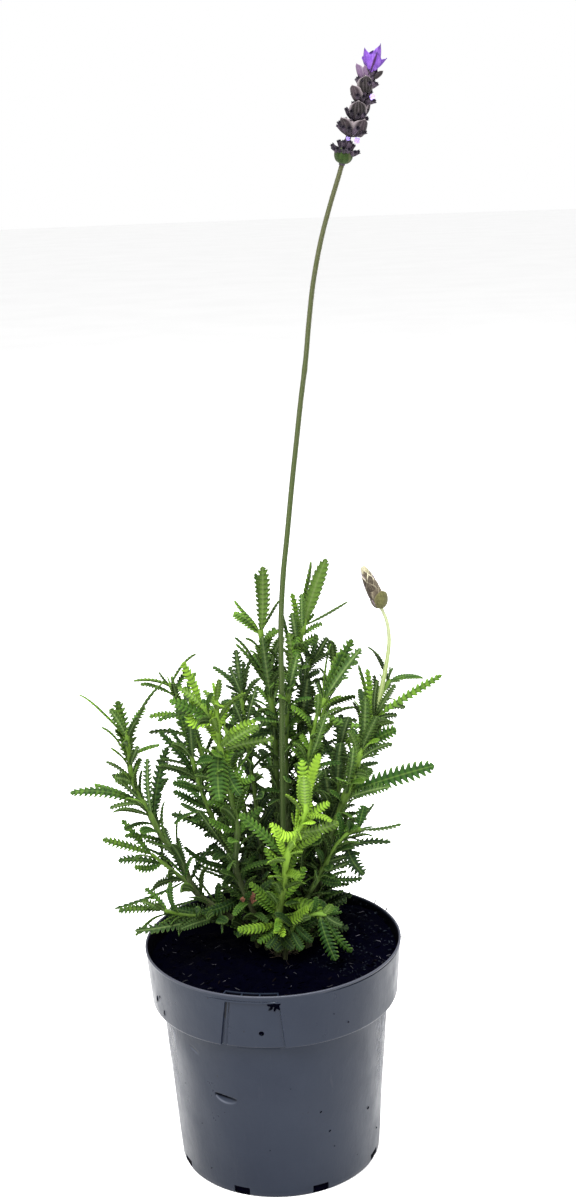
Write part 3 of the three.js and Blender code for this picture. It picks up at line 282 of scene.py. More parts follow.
class Nodes:
    """A material's node tree, with short calls for what most of them use."""

    def __init__(self, name):
        self.material = bpy.data.materials.new(name)
        self.material.use_nodes = True
        self.tree = self.material.node_tree
        self.shader = next(n for n in self.tree.nodes if n.type == "BSDF_PRINCIPLED")
        self.where = self.new("ShaderNodeTexCoord").outputs["Object"]

    def new(self, kind, **settings):
        node = self.tree.nodes.new(kind)
        for key, value in settings.items():
            setattr(node, key, value)
        return node

    def put(self, socket, value):
        if isinstance(value, bpy.types.NodeSocket):
            self.tree.links.new(value, socket)
        else:
            socket.default_value = value

    def set(self, node, **values):
        for key, value in values.items():
            node.inputs[key].default_value = value

    def split(self, vector):
        node = self.new("ShaderNodeSeparateXYZ")
        self.put(node.inputs[0], vector)
        return node.outputs

    def read(self, label):
        """The three numbers of place or mark."""
        return self.split(self.new("ShaderNodeAttribute", attribute_name=label).outputs["Vector"])

    def math(self, operation, a, b=0.0):
        node = self.new("ShaderNodeMath", operation=operation)
        self.put(node.inputs[0], a)
        self.put(node.inputs[1], b)
        return node.outputs[0]

    def times(self, a, b):
        return self.math("MULTIPLY", a, b)

    def span(self, value, low, high, to_low=0.0, to_high=1.0):
        """value brought from low..high to to_low..to_high, smoothly and not beyond."""
        node = self.new("ShaderNodeMapRange", interpolation_type="SMOOTHSTEP")
        for socket, v in zip(node.inputs, (value, low, high, to_low, to_high)):
            self.put(socket, v)
        return node.outputs[0]

    def noise(self, scale, detail=3.0, roughness=0.55, stretch=None, distortion=0.0):
        node = self.new("ShaderNodeTexNoise")
        where = self.where
        if stretch:
            mapping = self.new("ShaderNodeMapping")
            self.put(mapping.inputs["Vector"], where)
            self.set(mapping, Scale=stretch)
            where = mapping.outputs[0]
        self.put(node.inputs["Vector"], where)
        self.set(node, Scale=scale, Detail=detail, Roughness=roughness, Distortion=distortion)
        return node.outputs["Fac"]

    def spots(self, scale):
        """How far the nearest of many scattered points is."""
        node = self.new("ShaderNodeTexVoronoi", feature="F1")
        self.put(node.inputs["Vector"], self.where)
        self.set(node, Scale=scale, Randomness=1.0)
        return node.outputs["Distance"]

    def colours(self, value, *stops):
        """A colour ramp: each stop is (place, (r, g, b))."""
        node = self.new("ShaderNodeValToRGB")
        self.put(node.inputs[0], value)
        marks = node.color_ramp.elements
        while len(marks) < len(stops):
            marks.new(0.5)
        for element, (place, colour) in zip(marks, stops):
            element.position = place
            element.color = (*colour, 1)
        return node.outputs["Color"]

    def colour(self, socket, value):
        self.put(socket, (*value, 1) if isinstance(value, tuple) else value)

    def blend(self, share, a, b, kind="MIX"):
        node = self.new("ShaderNodeMix", data_type="RGBA", blend_type=kind)
        self.put(node.inputs[0], share)
        self.colour(node.inputs[6], a)
        self.colour(node.inputs[7], b)
        return node.outputs[2]

    def grey(self, value):
        node = self.new("ShaderNodeCombineColor")
        for socket in node.inputs:
            self.put(socket, value)
        return node.outputs[0]

    def bump(self, height, distance, strength=1.0):
        """distance is in millimetres."""
        node = self.new("ShaderNodeBump")
        self.set(node, Distance=distance / 1000, Strength=strength)
        self.put(node.inputs["Height"], height)
        if self.shader.inputs["Normal"].is_linked:
            self.put(node.inputs["Normal"], self.shader.inputs["Normal"].links[0].from_socket)
        self.put(self.shader.inputs["Normal"], node.outputs[0])

    def done(self, **sockets):
        for key, value in sockets.items():
            self.colour(self.shader.inputs[key.replace("_", " ")], value)
        return self.material


def leaf_material(name, old, grown, young):
    """place is (along, across, under) and mark is (age from old to young, swelling between veins, own tint). Where
    the blade swells least, in the notches between its teeth, it takes painted shade.
    """
    n = Nodes(name)
    along, across, under = n.read("place")
    age, swell, own = n.read("mark")
    patches = n.noise(260, 3)
    hairs = n.noise(4200, 2, 0.7)
    age = n.math("ADD", age, n.span(patches, 0.3, 0.7, -0.1, 0.1))
    top = n.colours(age, (0.0, old), (0.5, grown), (1.0, young))
    # painted shade in the notches between the teeth, where the blade swells least
    top = n.blend(n.span(swell, 0.0, 0.8, 0.62, 0.0), top, old)
    rib = n.span(across, 0.03, 0.12, 0.3, 0.0)
    top = n.blend(rib, top, n.blend(0.5, top, (0.2, 0.3, 0.06)))
    edge = n.span(across, 0.7, 0.98, 0.0, 0.55)
    top = n.blend(edge, top, n.blend(0.5, top, (0.14, 0.22, 0.04)))
    below = n.blend(0.4, top, (0.05, 0.088, 0.03))
    below = n.blend(n.span(across, 0.08, 0.2, 0.45, 0.0), below, (0.13, 0.18, 0.06))
    colour = n.blend(under, top, below)
    colour = n.blend(n.span(hairs, 0.54, 0.74, 0.0, 0.14), colour, (0.18, 0.24, 0.11))
    colour = n.blend(n.span(along, 0.0, 0.16, 0.35, 0.0), colour, (0.13, 0.2, 0.04))
    colour = n.blend(1.0, colour, n.grey(n.span(own, 0.0, 1.0, 0.7, 1.25)), "MULTIPLY")
    n.bump(n.noise(1300, 3), 0.25, 0.6)
    n.bump(hairs, 0.06, 0.5)
    rough = n.span(hairs, 0.3, 0.7, 0.5, 0.72)
    return n.done(Base_Color=colour, Roughness=rough, Specular_IOR_Level=0.1)


YOUNG_STEM = (0.19, 0.33, 0.03)


def stem_material(name, foot, middle, top, speckle, hair=0.3):
    """place is (along, on a ridge, 0); mark is (age, 0, 0)."""
    n = Nodes(name)
    along, ridge, _ = n.read("place")
    age = n.read("mark")[0]
    streaks = n.noise(900, 3, stretch=(1, 1, 0.16))
    fluff = n.noise(3600, 3, 0.7)
    colour = n.colours(n.math("ADD", along, n.span(streaks, 0.3, 0.7, -0.07, 0.07)),
                       (0.0, foot), (0.45, middle), (1.0, top))
    colour = n.blend(n.span(ridge, 0.3, 1.0, 0.0, 0.35), colour, n.blend(0.6, colour, speckle))
    colour = n.blend(n.span(age, 0.55, 0.95, 0.0, 0.85), colour, YOUNG_STEM)
    colour = n.blend(n.span(fluff, 0.5, 0.68, 0.0, hair), colour, speckle)
    n.bump(streaks, 0.2, 0.6)
    n.bump(fluff, 0.12, 0.7)
    return n.done(Base_Color=colour, Roughness=n.span(fluff, 0.3, 0.7, 0.55, 0.8), Specular_IOR_Level=0.12)


# leaf_bright and leaf_dark are brighter and darker copies of leaf_green. The bright one goes on front stems and the
# dark one on stems deep in the bush: partly the leaves' own tone, partly painted light and painted shade.
LEAF = {name: leaf_material(name, *tones) for name, tones in dict(
    leaf_green=((0.0025, 0.0108, 0.0024), (0.0145, 0.0465, 0.0046), (0.1, 0.19, 0.0135)),
    leaf_bright=((0.005, 0.016, 0.0035), (0.036, 0.09, 0.007), (0.19, 0.33, 0.022)),
    leaf_dark=((0.0025, 0.009, 0.0025), (0.01, 0.031, 0.005), (0.05, 0.12, 0.011))).items()}
TWIG = stem_material("twig_skin", (0.02, 0.018, 0.009), (0.026, 0.046, 0.011), (0.085, 0.16, 0.017),
                     (0.13, 0.165, 0.07))

# ---------------------------------------------------------------- the leafy stems

# foot: [x, y] at the soil. radius: at the foot and the top. Each leaf: foot x, foot z, tip x, tip z, tip depth,
# width, how far the blade turns from facing the front, and how far its rib bulges.
LEAFY_STEMS = dict(
  left_outer=dict(foot=[-9, 8], radius=[1.9, 1.1], look="leaf_green", grown=2, branches=[
    dict(course=[[-17, 134, 5], [-26, 141, 2], [-35, 148, 0], [-42, 155, -2], [-48, 173, -3], [-58, 187, -3],
      [-65, 203, -3], [-70, 213, -2], [-72.5, 223, -1], [-73, 234, 0], [-73.5, 248, 0]],
      leaves=[[-73, 240, -96.4, 270.3, -4, 5, 75, 0.15], [-73, 240, -53.5, 274, 4, 5, 75, -0.18],
      [-73, 228, -77, 265, 9, 9, 10, 0], [-73.5, 243, -82, 260.5, -7, 6, 20, 0.05],
      [-73.4, 243, -66.5, 256, -6, 5, 30, -0.1], [-72, 227, -68, 239.5, -8, 4.5, 20, -0.05],
      [-71.5, 219, -82, 222, -10, 8, 10, 0.1], [-66, 204, -106, 215, -3, 6.8, 35, 0.17],
      [-66, 204, -92.5, 219, 7, 5.5, 45, 0.08], [-67, 206, -83.5, 223.5, -9, 4.5, 30, 0.05],
      [-62.5, 198, -64, 233, -9, 5.5, 20, -0.03], [-62, 196, -52.5, 238, 6, 7.4, 0, -0.08]]),
    dict(course=[[-43.5, 158, -2], [-54, 168, -4], [-64, 177, -6]], radius=[1.2, 0.8],
      leaves=[[-63, 177, -90, 187, -9, 6, 30, 0.05], [-63, 177, -78, 198, -2, 5.5, 20, -0.05],
      [-58, 172, -73.4, 170.5, -15, 5, 20, -0.25], [-47, 161, -86, 148, -12, 5, 65, -0.12]]),
    dict(course=[[-23, 138, 3], [-36, 140, -4], [-47, 140.5, -9], [-59, 144, -14]], radius=[1.2, 0.8],
      leaves=[[-58, 143.5, -71, 150, -19, 5, 10, 0], [-57, 143, -68.6, 157.5, -8, 5, 20, 0.08],
      [-59, 144, -84, 145, -20, 5.5, 15, 0.1], [-35, 139.5, -75.6, 132.5, -34, 6, 20, -0.08],
      [-29, 139, -51, 132, -30, 5, 10, 0.05]])]),
  left_middle=dict(foot=[-7, 15.5], radius=[1.7, 1], look="leaf_green", grown=2, branches=[
    dict(course=[[-12, 146, 14], [-18, 166, 10], [-25, 184, 6], [-32, 202, 4], [-37, 220, 2], [-41, 240, 0]],
      leaves=[[-37, 219, -55, 247, -4, 5.5, 20, 0.05], [-35, 211, -50, 217.5, -12, 5.5, 10, 0.1],
      [-32, 201, -50, 213, -2, 6, 20, 0], [-25, 183, -51.5, 200.6, 0, 6, 25, 0.1],
      [-19, 168, -45.6, 181, -8, 5.5, 50, -0.22], [-22, 176, -38.7, 202, -14, 5.5, 15, 0],
      [-14, 152, -38.5, 142, -8, 7, 10, -0.15], [-38, 226, -50.6, 249, 8, 5, 65, 0.1],
      [-39, 230, -39.6, 252, -9, 6.5, 10, 0], [-41, 239, -46, 262, 3, 6, 10, 0]])]),
  centre_left=dict(foot=[-3.5, 3.5], radius=[1.7, 1.1], look="leaf_bright", grown=1, branches=[
    dict(course=[[-12, 146, -2], [-18.5, 166, -7], [-17, 190, -11], [-20, 212, -13], [-24, 235, -13],
      [-25, 250, -13], [-25, 263, -13]],
      leaves=[[-25, 252, -36, 265, -14, 6, 20, -1.25], [-25, 250, -49.4, 264, -22, 6.8, 15, 0.08, 0.3],
      [-25, 259, -31.4, 269, -4, 4, 20, 0.1], [-24.5, 236, -3, 248.6, -24, 6.5, 20, -0.06, 0.66],
      [-24, 235, 5, 241, -15, 6, 30, -0.05, 0.6], [-24.5, 237, -25.6, 206.6, -29, 12, 0, 0.08, 0.2],
      [-23, 231, -14.5, 209, -20, 9, 15, 0.1, 0.26], [-21, 217, -6.6, 219, -18, 5, 15, 0.1],
      [-18, 165, -23, 176, -15, 4, 10, 0.1], [-25, 262, -23.5, 275, -13, 5, 30, 0],
      [-17, 188, -32, 196, -18, 5, 30, -0.1], [-17, 186, -3, 201, -13, 6, 15, -0.1]]),
    dict(course=[[-25, 248, -13], [-30, 256, -15], [-33.4, 261, -16]], radius=[0.9, 0.7],
      leaves=[[-33, 260, -41.6, 284.7, -17, 6, 15, 0.04], [-33, 260, -45, 271, -22, 5, 25, 0.08]])]),
  centre=dict(foot=[-0.5, 21], radius=[1.6, 0.9], look="leaf_dark", grown=3, branches=[
    dict(course=[[-3, 160, 14], [-6, 200, 8], [-9, 235, 4], [-11, 258, 2], [-12, 269, 2]],
      leaves=[[-11.5, 262, -13.5, 291, 0, 6.5, 10, 0], [-11.5, 264, -17.5, 281.5, -5, 5, 15, 0.06],
      [-11.7, 266, -22.5, 280, 5, 4, 70, 0.05], [-10.5, 255, -9.2, 284, 9, 5, 5, -0.05],
      [-10, 246, -3, 270.5, -5, 5, 0, -0.05], [-11, 260, -5.5, 287, 4, 4, 60, -0.1],
      [-9, 236, -16, 262, -6, 6, 10, 0.05], [-8.5, 230, 0, 252, -3, 6, 10, -0.08]])]),
  tall_left=dict(foot=[4.5, 25], radius=[1.8, 1.1], look="leaf_green", grown=3, branches=[
    dict(course=[[5, 165, 18], [5, 205, 12], [5.5, 240, 7], [4, 262, 5], [1, 285, 4], [0, 301, 3]],
      leaves=[[0, 300, 2, 335.5, 0, 8, 10, 0.04, 1.0], [0, 299, -1.5, 331.5, 8, 6, 45, 0.1, 0.62],
      [0, 299, -12.5, 317.5, 3, 5, 75, 0.02], [0.5, 299, 10, 317, 9, 4.5, 75, -0.04],
      [4.5, 259, 0.5, 298, -4, 7, 0, 0], [2.6, 273, -12.5, 298, -3, 4.5, 70, 0.05],
      [3, 268, -13, 294, 10, 4.5, 60, 0.08], [4, 263, 8.5, 284, 9, 5, 20, -0.05],
      [2.5, 275, -4.5, 288, 12, 5, 20, 0.05]])]),
  tall_right=dict(foot=[11, 18.5], radius=[1.8, 1.1], look="leaf_green", grown=2, branches=[
    dict(course=[[11, 165, 12], [10.5, 205, 7], [11, 240, 3], [13, 262, 1], [17, 282, 1], [22, 300, 1],
      [23.5, 306, 1]],
      leaves=[[22.5, 302, 35.5, 338, -2, 7.8, 15, -0.04, 1.0], [23, 304, 29, 336, 7, 6, 65, -0.06, 0.7],
      [23, 303, 46, 314.5, 1, 5, 75, 0.05], [20, 294, 17.5, 320, 3, 4.5, 30, 0.05],
      [21.5, 299, 22, 320, -7, 4.5, 10, 0], [23, 303, 24.8, 320, 3, 4, 20, 0],
      [18, 287, 16.5, 310, -7, 6.5, 0, 0.06], [16, 279, 12, 313, 7, 4.5, 70, 0.04],
      [13, 262, 19, 287.5, -10, 6.5, 10, -0.03], [14, 268, 14.5, 299, -4, 7, 5, 0.1, 1.0],
      [22.5, 301, 19, 284, -10, 5.5, 20, 0.3]])]),
  dark_right=dict(foot=[16, 26], radius=[1.6, 0.9], look="leaf_dark", grown=3, branches=[
    dict(course=[[17, 165, 22], [17.5, 205, 18], [18, 240, 15], [20, 262, 13], [23, 275, 13], [27, 284, 13]],
      leaves=[[25, 280, 35, 295.5, 11, 6.5, 10, 0], [25, 280, 36, 287.5, 4, 4.5, 20, -0.1],
      [21, 266, 24, 285.5, 6, 4.5, 20, 0], [24, 278, 29.5, 262, 6, 4.5, 35, 0.3],
      [18.5, 246, 24, 274, 3, 11, 0, 0.03, 0.22], [22, 270, 38, 273.5, 9, 4, 55, -0.1],
      [18, 240, 27, 262, 22, 7, 10, -0.05]])]),
  right_middle=dict(foot=[13.5, 9.5], radius=[1.6, 0.9], look="leaf_green", grown=1, branches=[
    dict(course=[[17, 160, 4], [20, 195, 0], [22, 222, -2], [26, 244, -3], [29, 255, -3], [33, 262, -3]],
      leaves=[[32, 260, 48, 293.5, -3, 7.5, 15, -0.04], [32.5, 261, 52.5, 289, -9, 7, 25, -0.06],
      [32.5, 261, 42, 287, 4, 5, 30, -0.03], [32.5, 261, 37.5, 291.5, 9, 4.5, 75, -0.12],
      [22.5, 226, 33, 254.5, -12, 5, 20, 0.03], [22, 224, 12, 250, 6, 6.5, 20, 0.05],
      [25, 240, 38, 250.5, 4, 4.5, 40, 0.08], [21, 208, 30, 222, -8, 6, 15, -0.1]])]),
  right_outer=dict(foot=[19, 3.5], radius=[2.2, 1.4], look="leaf_green", grown=2, branches=[
    dict(course=[[24, 150, 3], [31, 175, 0], [37, 193, -2], [42, 206, -4], [47, 220, -4], [51, 231, -4],
      [56, 243, -4], [59, 251, -4]],
      leaves=[[43, 208, 90, 222, -10, 10.8, 5, -0.02, 0.3], [41.5, 205, 66, 211, -15, 6, 15, -0.07],
      [58.5, 250, 95.5, 272.5, -6, 5.5, 15, -0.02], [58.5, 250, 70.5, 269.5, -13, 4.5, 20, -0.03],
      [58, 249, 59.5, 272, -13, 5, 55, 0], [56.5, 245, 55.5, 277.5, -1, 5, 30, 0.08],
      [56, 244, 52, 280, 6, 4.5, 65, 0.06], [51.5, 232, 54, 262, -9, 7.5, 15, 0.05],
      [51, 231, 60.5, 252, -15, 6.5, 10, -0.03], [57.5, 247, 33, 254.5, 5, 6, 45, -0.28],
      [55, 241, 40, 240, 7, 5, 40, -0.18], [51.5, 232, 70, 243, -7, 8.5, 5, -0.12, 0.62],
      [49, 225, 68, 235.5, -13, 5.5, 20, -0.2], [46.5, 218, 54, 223.5, -9, 4.5, 20, -0.1],
      [37.5, 194, 46, 205, -12, 4, 70, 0], [42, 206, 47, 234.5, -11, 5.5, 15, 0.03]])]),
  right_low=dict(foot=[12, 0], radius=[1.6, 0.9], look="leaf_green", grown=1, branches=[
    dict(course=[[18, 145, -3], [26, 160, -6], [32, 171, -8], [38, 180, -10], [44, 185.5, -12], [50, 187.5, -12]],
      leaves=[[48, 187, 52, 200.5, -12, 6.5, 20, 0], [49, 187.5, 57.5, 201.5, -8, 4.5, 75, -0.06],
      [49, 187.5, 71.5, 190, -14, 4.5, 65, 0.14], [42, 184, 51, 160.5, -22, 9, 10, 0.22, 0.12],
      [34, 174, 66, 178, -4, 5.5, 35, -0.15, 0.15], [31, 169, 49, 174, -14, 5.5, 30, -0.04],
      [28, 163, 47, 171, -9, 5, 40, 0.08], [26, 160, 38, 156.5, -14, 5.5, 20, 0.2],
      [27, 161, 50, 158.5, -6, 5.5, 20, 0.12]])]),
  right_centre=dict(foot=[21.5, 13], radius=[1.6, 1], look="leaf_dark", grown=2, branches=[
    dict(course=[[25, 150, 10], [28, 172, 6], [33, 190, 4], [36, 205, 3], [39, 220, 2], [40, 236, 2]],
      leaves=[[33.5, 192, 31, 223, -8, 9.5, 0, 0.05], [37.5, 213, 40, 237.5, -7, 9.5, 5, 0],
      [39, 222, 41, 253, 4, 8.5, 5, 0], [40, 234, 45, 251.5, -6, 6.5, 20, -0.04],
      [38, 216, 31, 242, 9, 5.5, 40, 0.06], [28, 172, 23.5, 193, -4, 6, 15, 0.08],
      [31, 184, 37, 203, -9, 5.5, 10, -0.08]])]),
  front=dict(foot=[2.5, -4], radius=[1.9, 1.2], look="leaf_bright", grown=1, branches=[
    dict(course=[[4, 142.5, -10], [6.5, 154, -15], [8, 164, -19], [9, 172, -22], [11.7, 180, -25], [16.4, 189, -28],
      [20, 197, -30], [20.5, 204, -31]],
      leaves=[[20, 199, 20, 219, -39, 8.5, 0, 0], [20, 200, 19.5, 228, -23, 6.5, 10, 0],
      [20.5, 203, 29, 231, -30, 6, 20, -0.05], [9, 172, -15, 198, -31, 6.6, 15, 0.05, 0.5],
      [9, 171, 4, 190, -31, 4.5, 20, 0], [15.5, 187, 38, 192, -39, 6.5, 20, 0.12, 0.85],
      [12.5, 182, 28, 188.5, -33, 5.5, 30, 0.05], [9.5, 174, 28, 184.5, -26, 5.5, 30, -0.05],
      [16, 188, 2, 190, -25, 6.5, 15, -0.55], [4, 141, -11.4, 158, -19, 5.5, 20, 0.05],
      [3.5, 138, -8, 150.5, -13, 5.5, 20, 0.05], [4.2, 143, -0.5, 162.5, -9, 4.5, 30, 0.02],
      [5, 146, 18.8, 166, -17, 6, 15, 0.06], [3, 134, -18.4, 131.6, -24, 6, 10, -0.08, 0.75],
      [3, 133, -8.5, 123, -18, 5.5, 10, -0.1]])]),
  front_low=dict(foot=[6.5, -9.5], radius=[1.4, 0.9], look="leaf_green", grown=0, branches=[
    dict(course=[[11, 131, -15], [16, 136, -18], [23, 138.5, -21], [30, 138, -23]],
      leaves=[[9.5, 129, 28, 146, -15, 13, 5, 0.12, 0.42], [28, 138.2, 33, 144, -27, 5, 10, 0.15, 0.8],
      [29, 138.2, 38.5, 131.5, -27, 5, 20, 0.15], [28.5, 138.2, 43, 114.5, -27, 6, 15, 0.12, 0.55],
      [26, 138.4, 34, 110, -30, 8, 10, 0.06, 0.2], [13, 133, 21.5, 122, -22, 6, 10, 0.1]])]),
)

# The stems that the front hides: feet on an arc behind the crown, each leaning out its own way.
BACK = dict(stems=5, bearings=(22, 158), arc=(3, 25), arc_radius=(18, 12), lean=(10, 24), length=(112, 165),
            radius=(1.7, 0.9), ages=(0.18, 0.6), leaves=10, seed=2024)
GROWN = dict(first=0.3, length=(22, 36), width=(5.5, 8), angle=(40, 66), arch=0.16, jitter=20, tries=[
    (0, 1), (18, 1), (-18, 1), (36, 1), (-36, 1), (0, 0.7), (54, 0.8), (-54, 0.8), (80, 0.7), (-80, 0.7)])
READ_SHIFTS = (0, 3, -3, 6, -6, 9, -9, 12, -12, 16, -16, 20, -20)
MATCHED = 0.9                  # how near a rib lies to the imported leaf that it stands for
CLEAR = dict(over_soil=4, low=131, radius=64, front=-9)       # where small leaves may be

# How old the leaves of each stem look, at its foot and at its top: 0 old and dark, 1 young and bright. The darkness
# is partly the leaves' age and partly painted shade: ages are lowest for leaves low and deep in the bush, highest on
# the front stem.
AGE = dict(left_outer=(0.3, 0.62), left_middle=(0.22, 0.45), centre_left=(0.22, 0.75), centre=(0.15, 0.5),
           tall_left=(0.12, 0.66), tall_right=(0.12, 0.62), dark_right=(0.1, 0.45), right_middle=(0.28, 0.68),
           right_outer=(0.38, 0.72), right_low=(0.2, 0.42), right_centre=(0.15, 0.5), front=(0.6, 0.92),
           front_low=(0.04, 0.35))

# ---------------------------------------------------------------- one leaf

TOOTH = ((0.0, 0.4, 0.0), (0.23, 0.42, 0.2), (0.33, 0.88, 0.8), (0.55, 1.0, 1.0), (0.77, 0.97, 0.85),
         (0.92, 0.74, 0.3))        # along one tooth: place, how wide the blade is, how much it swells
SMALL_TOOTH = ((0.0, 0.42, 0.0), (0.3, 0.86, 0.8), (0.55, 1.0, 1.0), (0.8, 0.84, 0.6))
BLADE_FROM, BLADE_TO = 0.07, 0.94
# What each blade draws: its twist in degrees, and its waves, droop, fold and rolled margin as shares of its size.
BLADE = dict(teeth=(5, 14), twist=(-14, 14), wave=(0.004, 0.016), waves=(0.7, 1.4), droop=(0.0, 0.05),
             fold=(0.12, 0.4), roll=(0.3, 0.55))
YOUNGEST = (0.97, 1)           # the ages at which a blade is plainer and paler
NOTCH = 0.4                    # how far across a half blade its teeth begin
FINE = 13.5                    # shorter blades have fewer columns
THICKNESS = dict(fine=0.3, full=0.42)
STOUTER = 1.12                 # the skin and hairs of a stem stand this much round its core


def bezier(foot, bend, tip, t):
    t = np.asarray(t, float)[:, None]
    return foot * (1 - t) ** 2 + bend * 2 * t * (1 - t) + tip * t ** 2


def blade_rows(teeth, pattern):
    """(along, how wide, how much it swells) for each row of points of a blade."""
    rows = [(0.0, 0.16, 0.0), (0.035, 0.2, 0.0)]
    for k in range(teeth):
        rows += [(mix(BLADE_FROM, BLADE_TO, (k + place) / teeth), wide, swell) for place, wide, swell in pattern]
    rows += [(BLADE_TO, pattern[0][1], 0.0), (mix(BLADE_TO, 1, 0.35), 0.76, 0.7),
             (mix(BLADE_TO, 1, 0.72), 0.54, 0.8), (1.0, 0.1, 0.4)]
    return np.array(rows).T


def leaf(shape, foot, bend, tip, width, across, upward, age, dice, small=False):
    """A toothed blade on a bent rib. across is its width's direction, and upward the side that its face is on."""
    length = np.linalg.norm(np.diff(bezier(foot, bend, tip, np.linspace(0, 1, 9)), axis=0), axis=1).sum()
    teeth = int(round(np.clip(length / (1.25 + 0.05 * length), *BLADE["teeth"])))
    s, wide, swell = blade_rows(teeth, SMALL_TOOTH if small else TOOTH)
    toothed = (mix(1.06, 0.78, ramp(age, 0.45, 0.85)) * mix(1, 0.4, ramp(age, *YOUNGEST))
               * mix(1, 0.88, ramp(width, 5, 9)))
    wide = 1 - (1 - wide) * np.where((s > BLADE_FROM) & (s < BLADE_TO), toothed, 1)
    reach = np.array([-1, -0.45, 0, 0.45, 1]) if small else np.array([-1, -0.78, -0.42, 0, 0.42, 0.78, 1])
    rib = bezier(foot, bend, tip, s)
    way = np.gradient(rib, axis=0)
    way /= np.linalg.norm(way, axis=1, keepdims=True)
    twist = math.radians(dice.between(*BLADE["twist"])) * s
    side = across[None] - way * (way @ across)[:, None]
    side /= np.linalg.norm(side, axis=1, keepdims=True)
    face = np.cross(side, way)
    if np.dot(face[len(s) // 2], upward) < 0:
        side, face = -side, -face
    side, face = (side * np.cos(twist)[:, None] + face * np.sin(twist)[:, None],
                  face * np.cos(twist)[:, None] - side * np.sin(twist)[:, None])
    outline = (0.42 + 0.58 * np.sin(math.pi * (0.1 + 0.72 * s))) * mix(0.62, 1, ramp(s, 0.04, 0.3))
    outline = outline * (1 - 0.26 * ramp(s, 0.72, 1))
    half = width / 2 * outline
    wave = dice.between(*BLADE["wave"]) * length * np.sin(2 * math.pi * (dice.between(*BLADE["waves"]) * s + dice()))
    droop = -dice.between(*BLADE["droop"]) * length * s ** 3
    centre = rib + face * ((wave + droop) * ramp(s, 0, 0.2))[:, None]
    # The blade folds up from its rib, rolls down at its margin, and swells between its veins.
    r = np.abs(reach)[None]
    outer = np.maximum(0, (r - NOTCH) / (1 - NOTCH))
    offset = half[:, None] * np.where(r <= NOTCH, r * np.minimum(1, wide / NOTCH * 1.1)[:, None],
                                      NOTCH + outer * np.maximum(0, wide - NOTCH)[:, None])
    offset = np.minimum(offset, (half * wide)[:, None])
    fold, roll = dice.between(*BLADE["fold"]), dice.between(*BLADE["roll"])
    lift = half[:, None] * (fold * r - roll * r ** 3 + 0.1 * swell[:, None] * np.sin(math.pi * r ** 0.8))
    pitch = (BLADE_TO - BLADE_FROM) * length / teeth
    forward = pitch * 0.42 * outer * ((0.3 + swell) * (1 - ramp(s, 0.92, 0.98)))[:, None]
    top = (centre[:, None] + side[:, None] * (np.sign(reach)[None] * offset)[..., None]
           + face[:, None] * lift[..., None] + way[:, None] * forward[..., None])
    thick = (THICKNESS["fine" if small else "full"] * mix(1, 0.55, r)
             + (0.15 if small else 0.3) * (r == 0) * mix(1, 0.3, s)[:, None])
    under = top - face[:, None] * thick[..., None]
    own = dice()
    even = 0.75 * ramp(age, *YOUNGEST) * (1 - ramp(r, 0.5, 0.9))      # the youngest blades lose the painted shade between their teeth, but for their margins
    shape.blade(top, under, 0, s[:, None], r, three(age, mix(swell[:, None], 0.85, even), own))


# ---------------------------------------------------------------- where the leaves are


def stem_curve(foot, course):
    """A stem that stands upright in the soil and then takes its course."""
    rooted = [np.array([*foot, SOIL_LEVEL + rise]) for rise in (-ROOT_DEPTH, -9, 3)]
    return Curve([*rooted, *course])


def read_leaf(curve, reading, shift):
    """foot, bend, tip, width and direction across of a leaf that was read."""
    foot_x, foot_z, tip_x, tip_z, depth, width, turn, bow = reading
    line = curve.at(np.linspace(0, 1, 121))
    foot_depth = 0
    for _ in range(3):         # the foot's depth comes from the stem that it is on
        foot = seen(foot_x, foot_z, foot_depth)
        foot = line[np.argmin(np.hypot(line[:, 0] - foot[0], line[:, 2] - foot[2]))]
        foot_depth = foot[1]
    tip = seen(tip_x, tip_z, depth + shift)
    way = tip - foot
    middle = (foot + tip) / 2
    sight = unit(middle - EYE)
    bend = middle - np.cross(way, sight) * bow
    across = turned(unit(np.cross(way, sight)), unit(way), math.radians(turn))
    return foot, bend, tip, width, across


def grown_leaf(curve, share, bearing, length, width, angle, swing=0.0, shrink=1.0):
    """The same of a leaf that grows by rule."""
    foot, along = curve.at(share), curve.along(share)
    out = level(math.radians(bearing + swing))
    out = unit(out - along * np.dot(out, along))
    lean, reach = math.radians(angle), length * shrink
    tip = foot + out * reach * math.sin(lean) + along * reach * math.cos(lean)
    bend = (foot + tip) / 2 + along * reach * GROWN["arch"] - out * reach * GROWN["arch"] * 0.5
    return foot, bend, tip, width, unit(np.cross(along, out))


def packed_tree(node):
    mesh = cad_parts[node].data
    return BVHTree.FromPolygons([v.co * 1000 for v in mesh.vertices],
                                [tuple(p.vertices) for p in mesh.polygons])


def best_match(tree, candidates):
    """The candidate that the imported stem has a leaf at, or None."""
    def miss(candidate):
        rib = bezier(*candidate[:3], (0.4, 0.6, 0.8, 1.0))
        return sum(tree.find_nearest(Vector(p))[3] for p in rib) / len(rib)
    found = min(candidates, key=miss)
    return found if miss(found) < MATCHED else None


def growth(count, seed, first_bearing):
    """What the leaves that grow by rule draw: share of the stem, bearing, length, width and angle."""
    dice = Dice(seed)
    pairs = math.ceil(count / 2)
    for k in range(count):
        pair = k // 2
        share = mix(GROWN["first"], 0.985, pair / (pairs - 1) if pairs > 1 else 0.6)
        bearing = first_bearing + 90 * pair + 180 * (k % 2) + GROWN["jitter"] * (dice() - 0.5)
        length = dice.between(*GROWN["length"]) * (1 - 0.25 * pair / max(1, pairs))
        yield share, bearing, length, dice.between(*GROWN["width"]), dice.between(*GROWN["angle"])


def rolled(candidate, degrees):
    foot, bend, tip, width, across = candidate
    return foot, bend, tip, width, turned(across, unit(tip - foot), math.radians(degrees))


